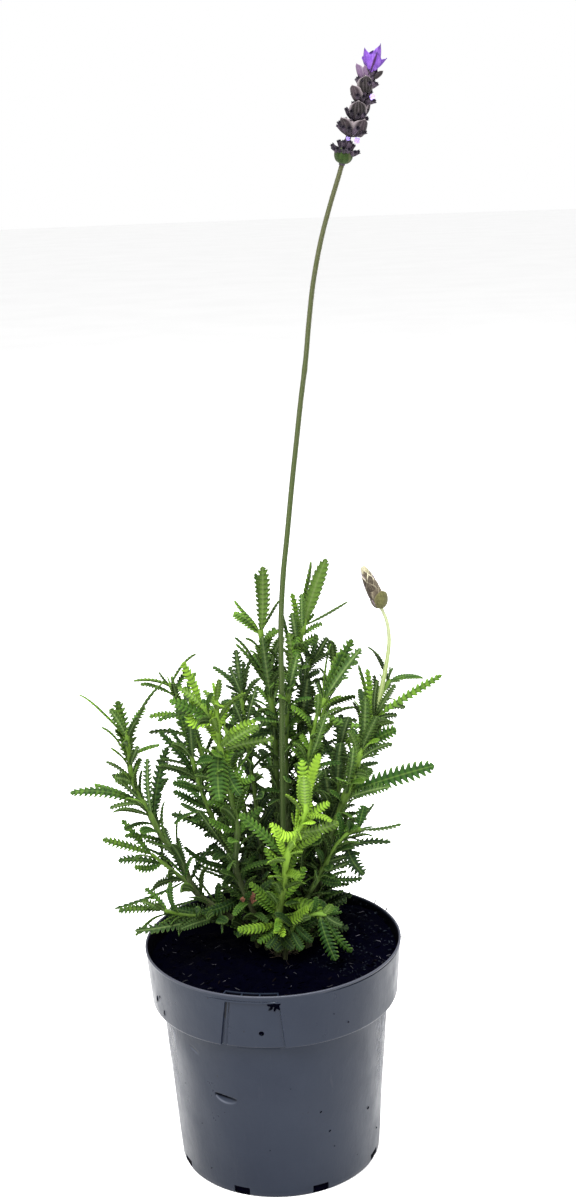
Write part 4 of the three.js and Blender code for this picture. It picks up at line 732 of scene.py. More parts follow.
def samples(candidate, shares=(0.15, 0.3, 0.45, 0.6, 0.75, 0.9, 1.0)):
    *rib, width, across = candidate
    over = across[None, None] * (np.array([-0.4, 0, 0.4]) * width)[None, :, None]
    return (bezier(*rib, shares)[:, None] + over).reshape(-1, 3)


taken = []         # points that leaves and stems already take up


def take(points):
    taken.append(np.asarray(points, np.float32).reshape(-1, 3))


def free(points, apart):
    near = np.vstack(taken)
    low, high = points.min(0) - apart, points.max(0) + apart
    near = near[((near > low) & (near < high)).all(1)]
    return not len(near) or np.linalg.norm(points[:, None] - near[None], axis=2).min() > apart


def clear_of_pot(points):
    """Whether points are above the soil, and low ones inside the rim and behind the front leaves."""
    low = points[:, 2] < CLEAR["low"]
    far = (np.hypot(points[:, 0], points[:, 1]) > CLEAR["radius"]) | (points[:, 1] < CLEAR["front"])
    return (points[:, 2] > SOIL_LEVEL + CLEAR["over_soil"]).all() and not (low & far).any()


def settle(stem, curve, candidate, shares, apart, age=None):
    """Adds a small leaf if there is room for it, and says whether there was."""
    points = samples(candidate, shares)
    fits = free(points, apart) and clear_of_pot(points)
    if fits:
        stem["small"].append((curve, candidate, age))
        take(points)
    return fits


def share_near(curve, point):
    line = curve.at(np.linspace(0, 1, 101))
    return np.argmin(np.linalg.norm(line - point, axis=1)) / 100


def front_stems():
    """The leafy stems that were read: name, look, curves with their radii, ages and leaves."""
    for name, given in LEAFY_STEMS.items():
        curves = []
        for k, branch in enumerate(given["branches"]):
            course = [seen(*p) for p in branch["course"]]
            curves.append((stem_curve(given["foot"], course) if k == 0 else Curve(course),
                           branch.get("radius", given["radius"])))
        yield dict(name=name, look=given["look"], curves=curves, ages=AGE[name], leaves=[], small=[])


def back_stems():
    """The same for those that the front hides."""
    dice = Dice(BACK["seed"])
    for k in range(BACK["stems"]):
        away = level(math.radians(mix(*BACK["bearings"], k / (BACK["stems"] - 1))))[:2]
        foot = np.array(BACK["arc"]) + np.array(BACK["arc_radius"]) * away
        lean, length = math.radians(dice.between(*BACK["lean"])), dice.between(*BACK["length"])
        course = []
        for part in (0.25, 0.5, 0.75, 1.0):
            out = length * part * math.sin(lean * (0.4 + 0.6 * part))
            course.append([*(foot + away * out), SOIL_LEVEL + length * part * math.cos(lean * part)])
        yield dict(name=f"back_{k + 1}", look="leaf_green", curves=[(stem_curve(foot, course), BACK["radius"])],
                   ages=BACK["ages"], leaves=[], small=[])


def match_leaves(index, stem):
    """The large leaves: each that was read or grows by rule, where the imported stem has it."""
    tree = packed_tree("leafy_stem_" + stem["name"])
    main = stem["curves"][0][0]
    candidates = []
    given = LEAFY_STEMS.get(stem["name"])
    if given:
        for (curve, _), branch in zip(stem["curves"], given["branches"]):
            for reading in branch["leaves"]:
                tries = [read_leaf(curve, reading[:8], shift) for shift in READ_SHIFTS]
                candidates.append((curve, tries, reading[8] if len(reading) > 8 else None))
        growing = growth(given["grown"], 100 + index, 60)
    else:
        behind = index - len(LEAFY_STEMS)
        growing = growth(BACK["leaves"], 200 + behind, 30 + 40 * behind)
    for share, bearing, length, width, angle in growing:
        tries = [grown_leaf(main, share, bearing, length, width, angle, *attempt) for attempt in GROWN["tries"]]
        candidates.append((main, tries, None))
    for curve, tries, own_age in candidates:
        found = best_match(tree, tries)
        if found:
            stem["leaves"].append((curve, found, own_age))
            take(samples(found))
    for curve, _ in stem["curves"]:
        take(curve.at(np.linspace(0, 1, int(curve.length / 2.5))))


# Small leaves in the axils, and short ones between, fill the bush out. They keep clear of what is there.
FILL = dict(step=3.2, length=(13, 27), width=(3.8, 6.2), angle=(26, 70), roll=(15, 60), share=(0.16, 0.98),
            twig_share=(0.12, 0.98), apart=1.1, seed=4100, swings=(0, 35, -35, 70, -70, 110, 150))
# the foot leaves' low age darkens them as painted shade
FOOT = dict(count=18, rise=(5, 34), length=(11, 21), width=(3.6, 6.2), angle=(35, 85), apart=1.0, age=0.1,
            fewer=dict(front=3, front_low=2, right_low=8, centre_left=10, right_outer=12))
LONGER = dict(left_outer=1.25, left_middle=1.3, centre_left=1.15, centre=1.1, back_1=1.15, back_2=1.2, back_3=1.25,
              back_4=1.25, back_5=1.25)
# Leaves in the foreground that hang over the feet of the front stems, read like the others. Those that hang down to
# the soil get low ages, which darken them as painted shade.
DROOPING = {"front": [
    [3.4, 139, 5.6, 126.5, -27, 5.0, 5, 0.1, 0.95], [3.2, 137, 1.6, 128, -24, 4.5, 20, -0.1, 0.85],
    [3.0, 131, 10.5, 118.6, -24, 6.5, 10, 0.12, 0.12], [3.0, 130, -3.5, 119.5, -20, 5.5, 10, -0.1, 0.1],
    [2.4, 133.3, 19.6, 142.5, -26, 7.4, -25, 0.1, 0.85], [6.5, 144.0, 28.0, 137.0, -22, 9.0, -30, -0.34, 0.6]],
    "front_low": [
    [8.0, 124, 1.0, 117.8, -20, 6.0, 10, 0.1, 0.15], [10.5, 129.5, 16.0, 117.6, -24, 6.5, 10, 0.12, 0.22]]}
AXIL = dict(count=3, length=(5.5, 12), out=(0.2, 0.8), along=(0.3, 1.0), stray=0.7, apart=0.9, seed=5200)
SHORT_SHARES = (0.3, 0.5, 0.7, 0.85, 1.0)      # of a small leaf, where its room is looked at


def axil_leaves(index, stem):
    """The drooping leaves, and small ones in the axils of the large ones."""
    dice = Dice(AXIL["seed"] + index)
    for reading in DROOPING.get(stem["name"], ()):
        found = read_leaf(stem["curves"][0][0], reading[:8], 0)
        stem["small"].append((stem["curves"][0][0], found, reading[8]))
        take(samples(found))
    for curve, (foot, _, tip, *_), _ in stem["leaves"]:
        along = curve.along(share_near(curve, foot))
        out = unit(tip - foot)
        for _ in range(AXIL["count"]):
            way = unit(out * dice.between(*AXIL["out"]) + along * dice.between(*AXIL["along"])
                       + np.array([dice() - 0.5, dice() - 0.5, dice() - 0.5]) * AXIL["stray"])
            length = dice.between(*AXIL["length"])
            over = unit(np.cross(way, out + 0.3 * UP + 0.01))
            end = foot + way * length
            bend = (foot + end) / 2 + unit(np.cross(over, way)) * length * 0.08
            settle(stem, curve, (foot, bend, end, 1.0 + 0.19 * length, over), (0.45, 0.7, 1.0), AXIL["apart"])


def fill_leaves(index, stem):
    """Short leaves between the large ones, and ones close round the foot of the plant, which a low age darkens as
    painted shade.
    """
    dice, longer = Dice(FILL["seed"] + index), LONGER.get(stem["name"], 1.0)
    main = stem["curves"][0][0]
    for curve, _ in stem["curves"]:
        low, high = FILL["share" if curve is main else "twig_share"]
        count = int(curve.length * (high - low) / FILL["step"])
        for k in range(count):
            share = mix(low, high, (k // 2 * 2 + 0.5 * dice()) / max(1, count))
            bearing = 90 * (k // 2) + 180 * (k % 2) + 37 * index
            for swing in FILL["swings"]:
                candidate = grown_leaf(curve, share, bearing + swing + dice.between(-10, 10),
                                       dice.between(*FILL["length"]) * mix(1.1, 0.75, share) * longer,
                                       dice.between(*FILL["width"]), dice.between(*FILL["angle"]))
                candidate = rolled(candidate, dice.between(*FILL["roll"]) * (1 if dice() < 0.5 else -1))
                if settle(stem, curve, candidate, SHORT_SHARES, FILL["apart"]):
                    break
    for _ in range(FOOT["fewer"].get(stem["name"], FOOT["count"])):
        share = (ROOT_DEPTH + dice.between(*FOOT["rise"])) / main.length
        candidate = grown_leaf(main, share, 360 * dice(), dice.between(*FOOT["length"]),
                               dice.between(*FOOT["width"]), dice.between(*FOOT["angle"]))
        settle(stem, main, candidate, SHORT_SHARES, FOOT["apart"], FOOT["age"])


JOINT = dict(swell=0.16, length=1.8, most=1.4)      # a stem swells where leaves stand
SIDES = 12


def bare_stem(shape, stem, curve, radius, main):
    """A stem or twig with its joints. Only the main one is old at its foot."""
    rings = max(12, int(curve.length / 1.6))
    shares = np.linspace(0, 1, rings)
    size = mix(*radius, shares) * STOUTER
    for owner, (foot, *_), _ in stem["leaves"]:
        if owner is curve:
            away = shares * curve.length - share_near(curve, foot) * curve.length
            size = size * (1 + JOINT["swell"] * np.exp(-(away / JOINT["length"]) ** 2))
    size = np.minimum(size, JOINT["most"] * mix(*radius, shares))
    line = curve.at(shares)
    old = ramp(line[:, 2], SOIL_LEVEL - 3, line[-1, 2]) if main else mix(0.45, 1.0, shares)
    place = three(old[:, None], (np.cos(4 * circle(SIDES)) + 1)[None] / 2, 0.0)
    mark = three(mix(*stem["ages"], old)[:, None], np.zeros((1, SIDES)), 0.0)
    tube(shape, line, size, SIDES, 1, place, mark, ridges=0.08)


def leafy_piece(index, stem):
    shape = Shape()
    dice = Dice(300 + index)
    for k, (curve, radius) in enumerate(stem["curves"]):
        bare_stem(shape, stem, curve, radius, k == 0)
    for small, group in ((False, stem["leaves"]), (True, stem["small"])):
        for curve, (foot, bend, tip, width, across), own_age in group:
            share = share_near(curve, foot)
            along = curve.along(share)
            way = unit(tip - foot)
            upward = along - way * np.dot(along, way)
            height = mix(*stem["ages"], ramp(share, 0.35, 1.0)) if own_age is None else own_age
            age = np.clip(height + dice.between(-0.12, 0.12) + (0.05 if small and share > 0.6 else 0), 0, 1)
            leaf(shape, foot, bend, tip, width, across, upward, age, dice, np.linalg.norm(tip - foot) < FINE)
    name = stem["name"]
    dress(shape.made("leafy_" + name, [LEAF[stem["look"]], TWIG]), stem["look"], "leafy_stem_" + name)


stems = [*front_stems(), *back_stems()]
for job in (match_leaves, axil_leaves, fill_leaves, leafy_piece):      # each needs the one before on all stems
    for index, stem in enumerate(stems):
        job(index, stem)

# ---------------------------------------------------------------- the pot

POT = dict(height=126.0, lip=71.0, collar_foot=68.0, collar_z=95.0, body_top=62.5, base=55.5, wall=1.6, floor=2.2)
DRAIN = dict(count=8, width=9.0, height=5.0, depth=9.0)
PANEL = dict(start=-20.8, stop=2.2, foot=93.0, top=121.6, depth=0.9, spread=(4.2, 2.3))      # degrees
POCKET = dict(start=-22.5, stop=2.4, foot=100.0, depth=4.4, skin=0.9, slots=3)
PIT = dict(bearing=-5.8, z=103.9, radius=1.4)
DENT = dict(bearing=-27.4, top=60.3, half=6.6, depth=3.7)      # a pressed arc low on the body
SCRATCH = dict(bearing=-45, z=83.2, half=3.2, slope=(0.92, 0.4))
BODY_MM = 1.06                                                # along the body's wall for each degree


def collar_radius(z):
    return mix(POT["collar_foot"], POT["lip"] - 0.45, (z - POT["collar_z"]) / (POT["height"] - POT["collar_z"]))


def body_radius(z):
    return mix(POT["base"], POT["body_top"], (z - 1.5) / 92.5)


def pot_profile():
    """[radius, height] down the outside from the lip's crest, and then down the inside, from foot to lip."""
    wall, lip = POT["wall"], POT["lip"]
    heights = np.concatenate([np.arange(1.5, 54, 2.0), np.arange(54, 64, 0.35), np.arange(64, 80, 1.6),
                              np.arange(80, 87, 0.5), np.arange(87, 94.1, 1.4)])
    body = [(body_radius(z), z) for z in heights]
    collar = [(collar_radius(z), z) for z in (
        95.7, 96.4, 97.4, 97.9, 98.1, 98.6, *np.linspace(99.6, 120.4, 18), 121.1, 121.4, 121.6, 121.8, 122.2,
        122.6, 122.8, 123.0, 123.2, 123.6, 124.0, 124.2, 124.35, 124.5, 124.7)]
    outside = [(0, 0), (20, 0), (40, 0), (52.8, 0), (54.4, 0.12), (55.2, 0.6), *body, (62.7, 94.5), (63.2, 94.9),
               (64.6, 95.0), (66.4, 95.0), (67.4, 95.05), (67.85, 95.3), *collar,
               (lip - 0.4, 125.0), (lip - 0.28, 125.4), (lip - 0.34, 125.75), (lip - 0.6, 125.96), (lip - 1.0, 126.0),
               (lip - 1.35, 125.88), (lip - 1.52, 125.5)]
    inside = [(lip - wall - 0.1, 124.2), (lip - wall - 0.35, 121), (lip - wall - 0.9, 115), (67.2, 107),
              (66.5, 99), (66.2, 97.3), (65.6, 96.7), (63, 96.6), (61.2, 96.3), (60.8, 95.4), (60.2, 88), (54.4, 6),
              (53.9, 3.0), (53.0, 2.3), *((r, POT["floor"]) for r in (40, 20, 0))]
    return np.array(outside + inside, float), len(outside)


def pot_angles():
    """Bearings from the front, closer together round the panel and the dent."""
    panel = [PANEL["start"] + d for d in (-0.22, 0.02, 0.62, 0.82, 1.3, 1.5, 1.75, 1.95)]
    panel += [PANEL["stop"] + d for d in (-0.02, 0.22)]
    fine = np.arange(-52, 8.1, 0.5)
    coarse = np.concatenate([np.arange(9, 180, 1.5), np.arange(-180, -52.1, 1.5)])
    every = np.unique(np.round(np.concatenate([fine, coarse, panel]), 2))
    return every[every < 179.9]


def step_in(value, start, stop, soft):
    """1 between start and stop, falling to 0 within soft outside them."""
    return np.clip((value - start) / soft + 1, 0, 1) * np.clip((stop - value) / soft + 1, 0, 1)


def crease(a, z):
    """How far the wall of the body is pushed in, and where it takes painted shade and painted highlight: a dent, a
    scratch and ripples.
    """
    x = (a - DENT["bearing"]) * BODY_MM
    round_off = np.sqrt(np.clip(1 - (x / DENT["half"]) ** 2, 0, 1))
    top, deep = DENT["top"] - 0.1 * x, DENT["depth"] * round_off
    below = np.clip((z - top) / (deep + 0.3) + 1, 0, 1)
    arc = np.where(z > top, np.clip(1 - (z - top) / 0.7, 0, 1), below ** 1.5) * round_off * (1.1 - 0.06 * x)
    inside = np.abs(x) < DENT["half"]
    u, w = (a - SCRATCH["bearing"]) * BODY_MM, z - SCRATCH["z"]
    run, drop = SCRATCH["slope"]
    across, along = drop * u + run * w, run * u - drop * w
    near = np.exp(-(along / SCRATCH["half"]) ** 4)
    # painted shade along the dent's top edge and on one side of the scratch
    dark = (np.exp(-((z - top + 0.5) / 0.75) ** 2) * inside * np.clip(1 - x / 20, 0, 1)
            + 0.6 * np.exp(-((across - 0.5) / 0.6) ** 2) * near)
    # painted highlight along the dent's lower arc and on the scratch's other side
    pale = (np.exp(-((z - top + deep) / 0.55) ** 2) * inside * (round_off > 0.25) * np.clip(0.8 - x / 9, 0, 1)
            + 0.6 * np.exp(-((across + 0.8) / 0.55) ** 2) * near)
    turn = np.radians(a)
    ripple = 0.12 * np.sin(turn * 5 + 0.6) * np.sin(z * 0.055) + 0.08 * np.sin(turn * 11 + z * 0.11)
    return arc + 0.3 * np.exp(-(across / 0.75) ** 2) * near + ripple, dark, pale


def arc_box(shape, insets, bearings, heights, count=8, slot=0):
    """A curved slab behind the collar's face: its insets from it, bearings from the front, and heights."""
    angle = np.radians(np.linspace(*bearings, count))
    ring = []
    for inset, z in zip((*insets, *insets[::-1]), np.repeat(heights, 2)):
        here = collar_radius(z) - inset
        ring.append(np.stack([here * np.sin(angle), -here * np.cos(angle), np.full(count, z)], -1))
    points = np.stack(ring, 1)
    base = shape.count
    shape.add(points, grid(count, 4, closed=True)[:, ::-1], slot, (0.9, 0, 0), (0, 0, 0))
    tail = base + (count - 1) * 4
    shape.join([[base, base + 1, base + 2, base + 3], [tail, tail + 3, tail + 2, tail + 1]], slot)


def pot_material():
    n = Nodes("pot_plastic")
    clouds = n.noise(16, 4, 0.6)
    film = n.noise(55, 5, 0.65, stretch=(1, 1, 0.7))
    grain = n.noise(1500, 3)
    scuffs = n.noise(150, 4, 0.7, stretch=(1, 1, 0.12), distortion=0.6)
    colour = n.colours(clouds, (0.3, (0.0058, 0.0084, 0.0165)), (0.7, (0.0092, 0.0125, 0.0215)))
    colour = n.blend(n.span(scuffs, 0.6, 0.78, 0.0, 0.35), colour, (0.03, 0.031, 0.038))
    rare = n.times(n.span(n.spots(230), 0.08, 0.16, 1.0, 0.0), n.span(n.noise(60, 2), 0.62, 0.66))
    colour = n.blend(n.times(rare, 0.9), colour, (0.004, 0.004, 0.005))
    height, _, inner = n.read("place")
    colour = n.blend(n.span(height, 0.994, 0.998, 0.0, 0.7), colour, (0.05, 0.052, 0.066))      # painted highlight along the top of the lip
    # painted shade over the whole inside of the pot
    colour = n.blend(inner, colour, (0.0008, 0.0008, 0.0016))
    # painted shade and painted highlight of the dent and the scratch
    dark, pale, _ = n.read("mark")
    colour = n.blend(dark, colour, (0.0006, 0.0006, 0.0012))
    colour = n.blend(pale, colour, (0.06, 0.066, 0.085))
    rough = n.math("ADD", n.span(film, 0.3, 0.7, 0.27, 0.44), n.span(scuffs, 0.55, 0.8, 0.0, 0.12))
    n.bump(film, 0.7, 0.35)
    # Painted streaky reflections, pale and dark, high on the body's left and right sides; the streaks are bumped too.
    side = n.span(n.math("ABSOLUTE", n.split(n.where)["X"]), 0.0525, 0.0565)
    side = n.times(side, n.times(n.span(height, 0.3, 0.46), n.span(height, 0.7, 0.74, 1.0, 0.0)))
    marks = n.noise(330, 4, 0.65, stretch=(1, 1, 0.4), distortion=1.0)
    colour = n.blend(n.times(side, n.span(marks, 0.55, 0.66, 0.0, 0.55)), colour, (0.2, 0.205, 0.25))
    colour = n.blend(n.times(side, n.span(marks, 0.38, 0.46, 0.7, 0.0)), colour, (0.003, 0.003, 0.005))
    n.bump(n.times(side, n.span(marks, 0.42, 0.62)), 0.4, 0.7)
    n.bump(grain, 0.05, 0.35)
    n.bump(scuffs, 0.1, 0.4)
    # less reflection where the shade of the dent and the scratch is painted
    return n.done(Base_Color=colour, Roughness=rough, Specular_IOR_Level=n.span(dark, 0.0, 1.0, 0.17, 0.02),
                  Specular_Tint=(0.84, 0.9, 1.0))


def cut(obj, cutters):
    """Takes closed shapes out of obj."""
    bpy.context.view_layer.update()
    modifier = obj.modifiers.new("cut", "BOOLEAN")
    modifier.operation, modifier.solver, modifier.object = "DIFFERENCE", "EXACT", cutters
    evaluated = obj.evaluated_get(bpy.context.evaluated_depsgraph_get())
    mesh = bpy.data.meshes.new_from_object(evaluated)
    obj.modifiers.clear()
    old, obj.data = obj.data, mesh
    bpy.data.meshes.remove(old)
    bpy.data.objects.remove(cutters)
    return obj


def pot_shell(plastic):
    profile, outside = pot_profile()
    angles = pot_angles()
    a, index = np.meshgrid(angles, np.arange(len(profile)))
    r, z = profile[index, 0], profile[index, 1]
    outer = index < outside
    start, stop, soft = PANEL["start"], PANEL["stop"], 0.2
    # The panel widens downwards: the columns at its edges shift with the height.
    down = np.clip((PANEL["top"] - z) / (PANEL["top"] - PANEL["foot"]), 0, 1) * outer * (z > 94.6)
    near_start, near_stop = (np.clip(1 - np.abs(a - edge) / 9, 0, 1) for edge in (start, stop))
    angle = np.radians(a + down * (PANEL["spread"][1] * near_stop - PANEL["spread"][0] * near_start))
    pushed = step_in(a, start, stop, soft) * step_in(z, PANEL["foot"], PANEL["top"], soft)
    # A deep groove and a shallow one run down inside its left edge.
    grooves = (0.55 * step_in(a, start, start + 0.62, soft) + 0.3 * step_in(a, start + 1.5, start + 1.75, soft))
    r -= (PANEL["depth"] + grooves) * pushed * outer
    under_lip = 0.5 * step_in(a, 34, 70, 14) * step_in(z, 124.2, 124.5, soft)
    r -= (under_lip + 0.3 * step_in(a, -24, -2, 7) * step_in(z, 122.8, 123.0, soft)) * outer
    body = outer * ramp(z, 1.5, 6) * (1 - ramp(z, 90, 94.2))
    # dark and pale are the painted shade and painted highlight of the dent and the scratch
    pushed_in, dark, pale = (part * body for part in crease(a, z))
    r -= pushed_in
    share = z / POT["height"]
    r *= 1 + 0.0035 * np.cos(2 * np.radians(a) + 0.5) * share - 0.0035 * share      # slightly oval at the top
    shape = Shape()
    shape.add(np.stack([r * np.sin(angle), -r * np.cos(angle), z], -1), grid(*a.shape, closed=True), 0,
              three(share, ~outer * (z < 123.5), ~outer), three(dark, pale, 0))
    return shape.made("pot_shell", [plastic], merge=0.01)


def pot_cutters():
    """What is cut out of the shell: the drain slots, and the small round pit in the panel."""
    cutters = Shape()
    box = np.array([[x, y, z] for x in (-1, 1) for y in (-1, 1) for z in (-1, 1)], float)
    sides = [[0, 1, 3, 2], [4, 6, 7, 5], [0, 4, 5, 1], [2, 3, 7, 6], [0, 2, 6, 4], [1, 5, 7, 3]]
    for k in range(DRAIN["count"]):
        turn = 2 * math.pi * (k + 0.5) / DRAIN["count"]
        corner = box * [DRAIN["depth"] / 2, DRAIN["width"] / 2, DRAIN["height"]] + [POT["base"], 0, 0]
        x = corner[:, 0] * math.cos(turn) - corner[:, 1] * math.sin(turn)
        y = corner[:, 0] * math.sin(turn) + corner[:, 1] * math.cos(turn)
        cutters.add(np.stack([x, y, corner[:, 2]], -1), sides)
    turn = math.radians(PIT["bearing"])
    out = np.array([math.sin(turn), -math.cos(turn), 0])
    tube(cutters, [out * reach + UP * PIT["z"] for reach in (66.2, 72.0)], PIT["radius"], 16)
    return cutters.made("cutters", [])


def label_pocket(plastic):
    """The pocket behind the panel: a back wall, upright ribs and a floor. A thin sheet just in front of the back
    wall, and the floor, take painted shade.
    """
    pocket = Shape()
    front, back = PANEL["depth"] + 0.6, PANEL["depth"] + 0.7 + POCKET["depth"]
    top, skin, foot = POT["height"] - 0.9, POCKET["skin"], POCKET["foot"]
    round_it = POCKET["start"], POCKET["stop"]
    arc_box(pocket, (back, back - skin), round_it, (foot, top), 24)
    # a thin sheet of painted shade in front of the back wall
    arc_box(pocket, (back - skin - 0.02, back - skin - 0.3), round_it, (foot, top - 0.5), 24, 1)
    for k in range(POCKET["slots"] + 1):
        middle = mix(POCKET["start"] + 0.3, POCKET["stop"] - 0.3, k / POCKET["slots"])
        arc_box(pocket, (back - 0.3, front), (middle - 0.3, middle + 0.3), (foot, top - 0.15), 3)
    arc_box(pocket, (back - 0.2, front), round_it, (foot, foot + 2.6), 24, 1)
    # near-black painted shade for inside the pocket
    n = Nodes("pocket_shade")
    shade = n.colours(n.noise(400, 3), (0.35, (0.0006, 0.0006, 0.002)), (0.7, (0.0022, 0.0024, 0.005)))
    dark = n.done(Base_Color=shade, Roughness=0.9, Specular_IOR_Level=0.02)
    return pocket.made("pot_pocket", [plastic, dark])


def pot_piece():
    plastic = pot_material()
    pot = cut(pot_shell(plastic), pot_cutters())
    pot.data.polygons.foreach_set("use_smooth", np.ones(len(pot.data.polygons), bool))
    pot.data.set_sharp_from_angle(angle=math.radians(38))
    dress(pot, "pot_plastic", "pot")
    holder = label_pocket(plastic)
    holder.data.set_sharp_from_angle(angle=math.radians(30))
    dress(holder, "pot_plastic")


# ---------------------------------------------------------------- soil

SOIL_BANK = dict(x=50, y=32, height=6.5, spread=32)      # it lies higher at the right and behind
SOIL_RIM = 115.5


def soil_bank(x, y):
    away = np.hypot(x - SOIL_BANK["x"], y - SOIL_BANK["y"]) / SOIL_BANK["spread"]
    return SOIL_BANK["height"] * np.exp(-away * away)


def soil_height(x, y):
    lumps = 0.9 * np.sin(0.21 * x + 1.3) * np.cos(0.17 * y - 0.4) + 0.6 * np.sin(0.37 * (x + y))
    return SOIL_LEVEL + lumps + soil_bank(x, y)


def soil_material():
    n = Nodes("potting_mix")
    coarse, fine = n.noise(330, 4, 0.7), n.noise(1900, 4, 0.7)
    colour = n.colours(coarse, (0.3, (0.0001, 0.0001, 0.0011)), (0.62, (0.0004, 0.0004, 0.0026)),
                       (0.85, (0.003, 0.003, 0.0055)))
    colour = n.blend(n.span(fine, 0.68, 0.8, 0.0, 0.3), colour, (0.01, 0.011, 0.016))
    own, grey, _ = n.read("mark")      # how much it is bark, and how pale
    bark = n.colours(fine, (0.3, (0.004, 0.003, 0.0025)), (0.7, (0.022, 0.016, 0.011)))
    colour = n.blend(n.span(own, 0.5, 1.0), colour, bark)
    flake = n.colours(fine, (0.35, (0.008, 0.011, 0.015)), (0.65, (0.032, 0.04, 0.05)))
    colour = n.blend(grey, colour, flake)
    n.bump(coarse, 1.2, 0.8)
    n.bump(fine, 0.5, 0.7)
    return n.done(Base_Color=colour, Roughness=n.span(coarse, 0.3, 0.7, 0.45, 0.95), Specular_IOR_Level=0.005)


def fibre_material():
    n = Nodes("fibre")
    own, grey, _ = n.read("mark")
    tone = n.colours(own, (0.0, (0.006, 0.004, 0.003)), (0.6, (0.04, 0.028, 0.016)), (1.0, (0.16, 0.12, 0.07)))
    tone = n.blend(grey, tone, n.colours(own, (0.0, (0.008, 0.009, 0.013)), (1.0, (0.13, 0.13, 0.16))))
    tone = n.blend(n.span(n.noise(2500, 3), 0.4, 0.7, 0.0, 0.5), tone, (0.012, 0.008, 0.006))
    n.bump(n.noise(2200, 3), 0.15, 0.6)
    return n.done(Base_Color=tone, Roughness=0.8)


def soil_edge(x, y):
    """The soil's radius at a bearing: it stops short of the label pocket."""
    bearing = np.degrees(np.arctan2(x, -y))
    rim = collar_radius(SOIL_RIM) - POT["wall"] - 0.35
    return rim - (POCKET["depth"] + 1.2) * step_in(bearing, POCKET["start"] - 1.5, POCKET["stop"] + 1.5, 1.0)


def chip(shape, place, size, way, dice, mark=0.0, slot=0, shape_of=(1.0, 0.55, 0.3), grey=0.0):
    """A rough bit of bark or a crumb: a lumpy box with rounded corners."""
    u = unit(way)
    v = unit(np.cross(u, [0.3 - dice(), 0.2, 0.9]))
    w = np.cross(u, v)
    points = []
    for i in (-1, 0, 1):
        for j in range(6):
            angle = math.pi * j / 3 + 0.3 * i
            shrink = (1.0 if i == 0 else 0.62) * dice.between(0.75, 1.1)
            points.append(place + size * (u * i * shape_of[0] * dice.between(0.85, 1.1)
                                          + v * math.cos(angle) * shape_of[1] * shrink
                                          + w * math.sin(angle) * shape_of[2] * shrink))
    points = np.array(points)
    looks = slot, (0, 0, 0), (mark, grey, 0)
    shape.add(points, grid(3, 6, closed=True), *looks)
    shape.fan(points[:6], points[:6].mean(0) - u * 0.15 * size, *looks, flip=True)
    shape.fan(points[12:], points[12:].mean(0) + u * 0.15 * size, *looks)


CURL = 0.35      # how far a fibre bends, as a share of its length


def fibre(shape, place, length, way, dice, thick, mark, grey=0.0):
    """A thin bent thread."""
    u = unit(way)
    v = unit(np.cross(u, [0.2, dice() - 0.5, 1.0]))
    s = np.linspace(-0.5, 0.5, 7)
    bow, sway = dice.between(-CURL, CURL), dice.between(-CURL, CURL)
    line = (place + u * (s * length)[:, None] + v * (bow * length * (0.25 - s ** 2) * 2)[:, None]
            + np.cross(u, v) * (sway * length * np.sin(s * 5) * 0.15)[:, None])
    tube(shape, line, thick * (1 - 1.2 * np.abs(s) ** 1.5), 4, 0, (0.5, 0, 0), (mark, grey, 0))


def soil_block(earth):
    count, rings = 200, 64
    angle = circle(count)
    cos, sin = np.cos(angle), np.sin(angle)
    edge = soil_edge(cos, sin)
    share = np.linspace(0, 1, rings)[1:, None] ** 0.8
    r = share * edge[None]
    x, y = r * cos, r * sin
    rough = np.array([noise.fractal(Vector((px * 0.13, py * 0.13, 3.0)), 0.9, 2.2, 5)
                      for px, py in zip(x.ravel(), y.ravel())]).reshape(x.shape)
    height = soil_height(x, y) + 1.3 * rough * (1 - 0.3 * share)
    height = mix(height, SOIL_RIM + soil_bank(x, y) + 0.7 * rough, 0.55 * ramp(share, 0.88, 1.0))
    wall = [three(radius * cos, radius * sin, z) for radius, z in (
        (edge - 0.6, SOIL_RIM - 5), (edge - 0.6, 98.2), (59.6, 97.5), (59.2, 90), (53.4, 3.2), (52.8, 2.5),
        (20, 2.5))]
    points = np.concatenate([three(x, y, height), wall])
    dark = dict(mark=(0.0, 0, 0))
    shape = Shape()
    shape.add(points, grid(len(points), count, closed=True)[:, ::-1], **dark)
    shape.fan(points[0], np.array([0, 0, points[0, :, 2].mean()]), **dark)
    shape.fan(points[-1], np.array([0, 0, 2.5]), flip=True, **dark)
    dress(shape.made("soil_block", [earth], merge=0.01), "potting_mix", "soil")


def on_soil(x, y, rise):
    return np.array([x, y, soil_height(x, y) + rise])


def lying(dice, over, middle=0.5, side=1.0):
    """A direction that lies nearly level: it rises and falls by over."""
    return np.array([dice() - 0.5, side * (dice() - 0.5), over * (dice() - middle)])


def strewn(dice, radius):
    turn = dice.between(0, 2 * math.pi)
    return radius, radius * math.cos(turn), radius * math.sin(turn)


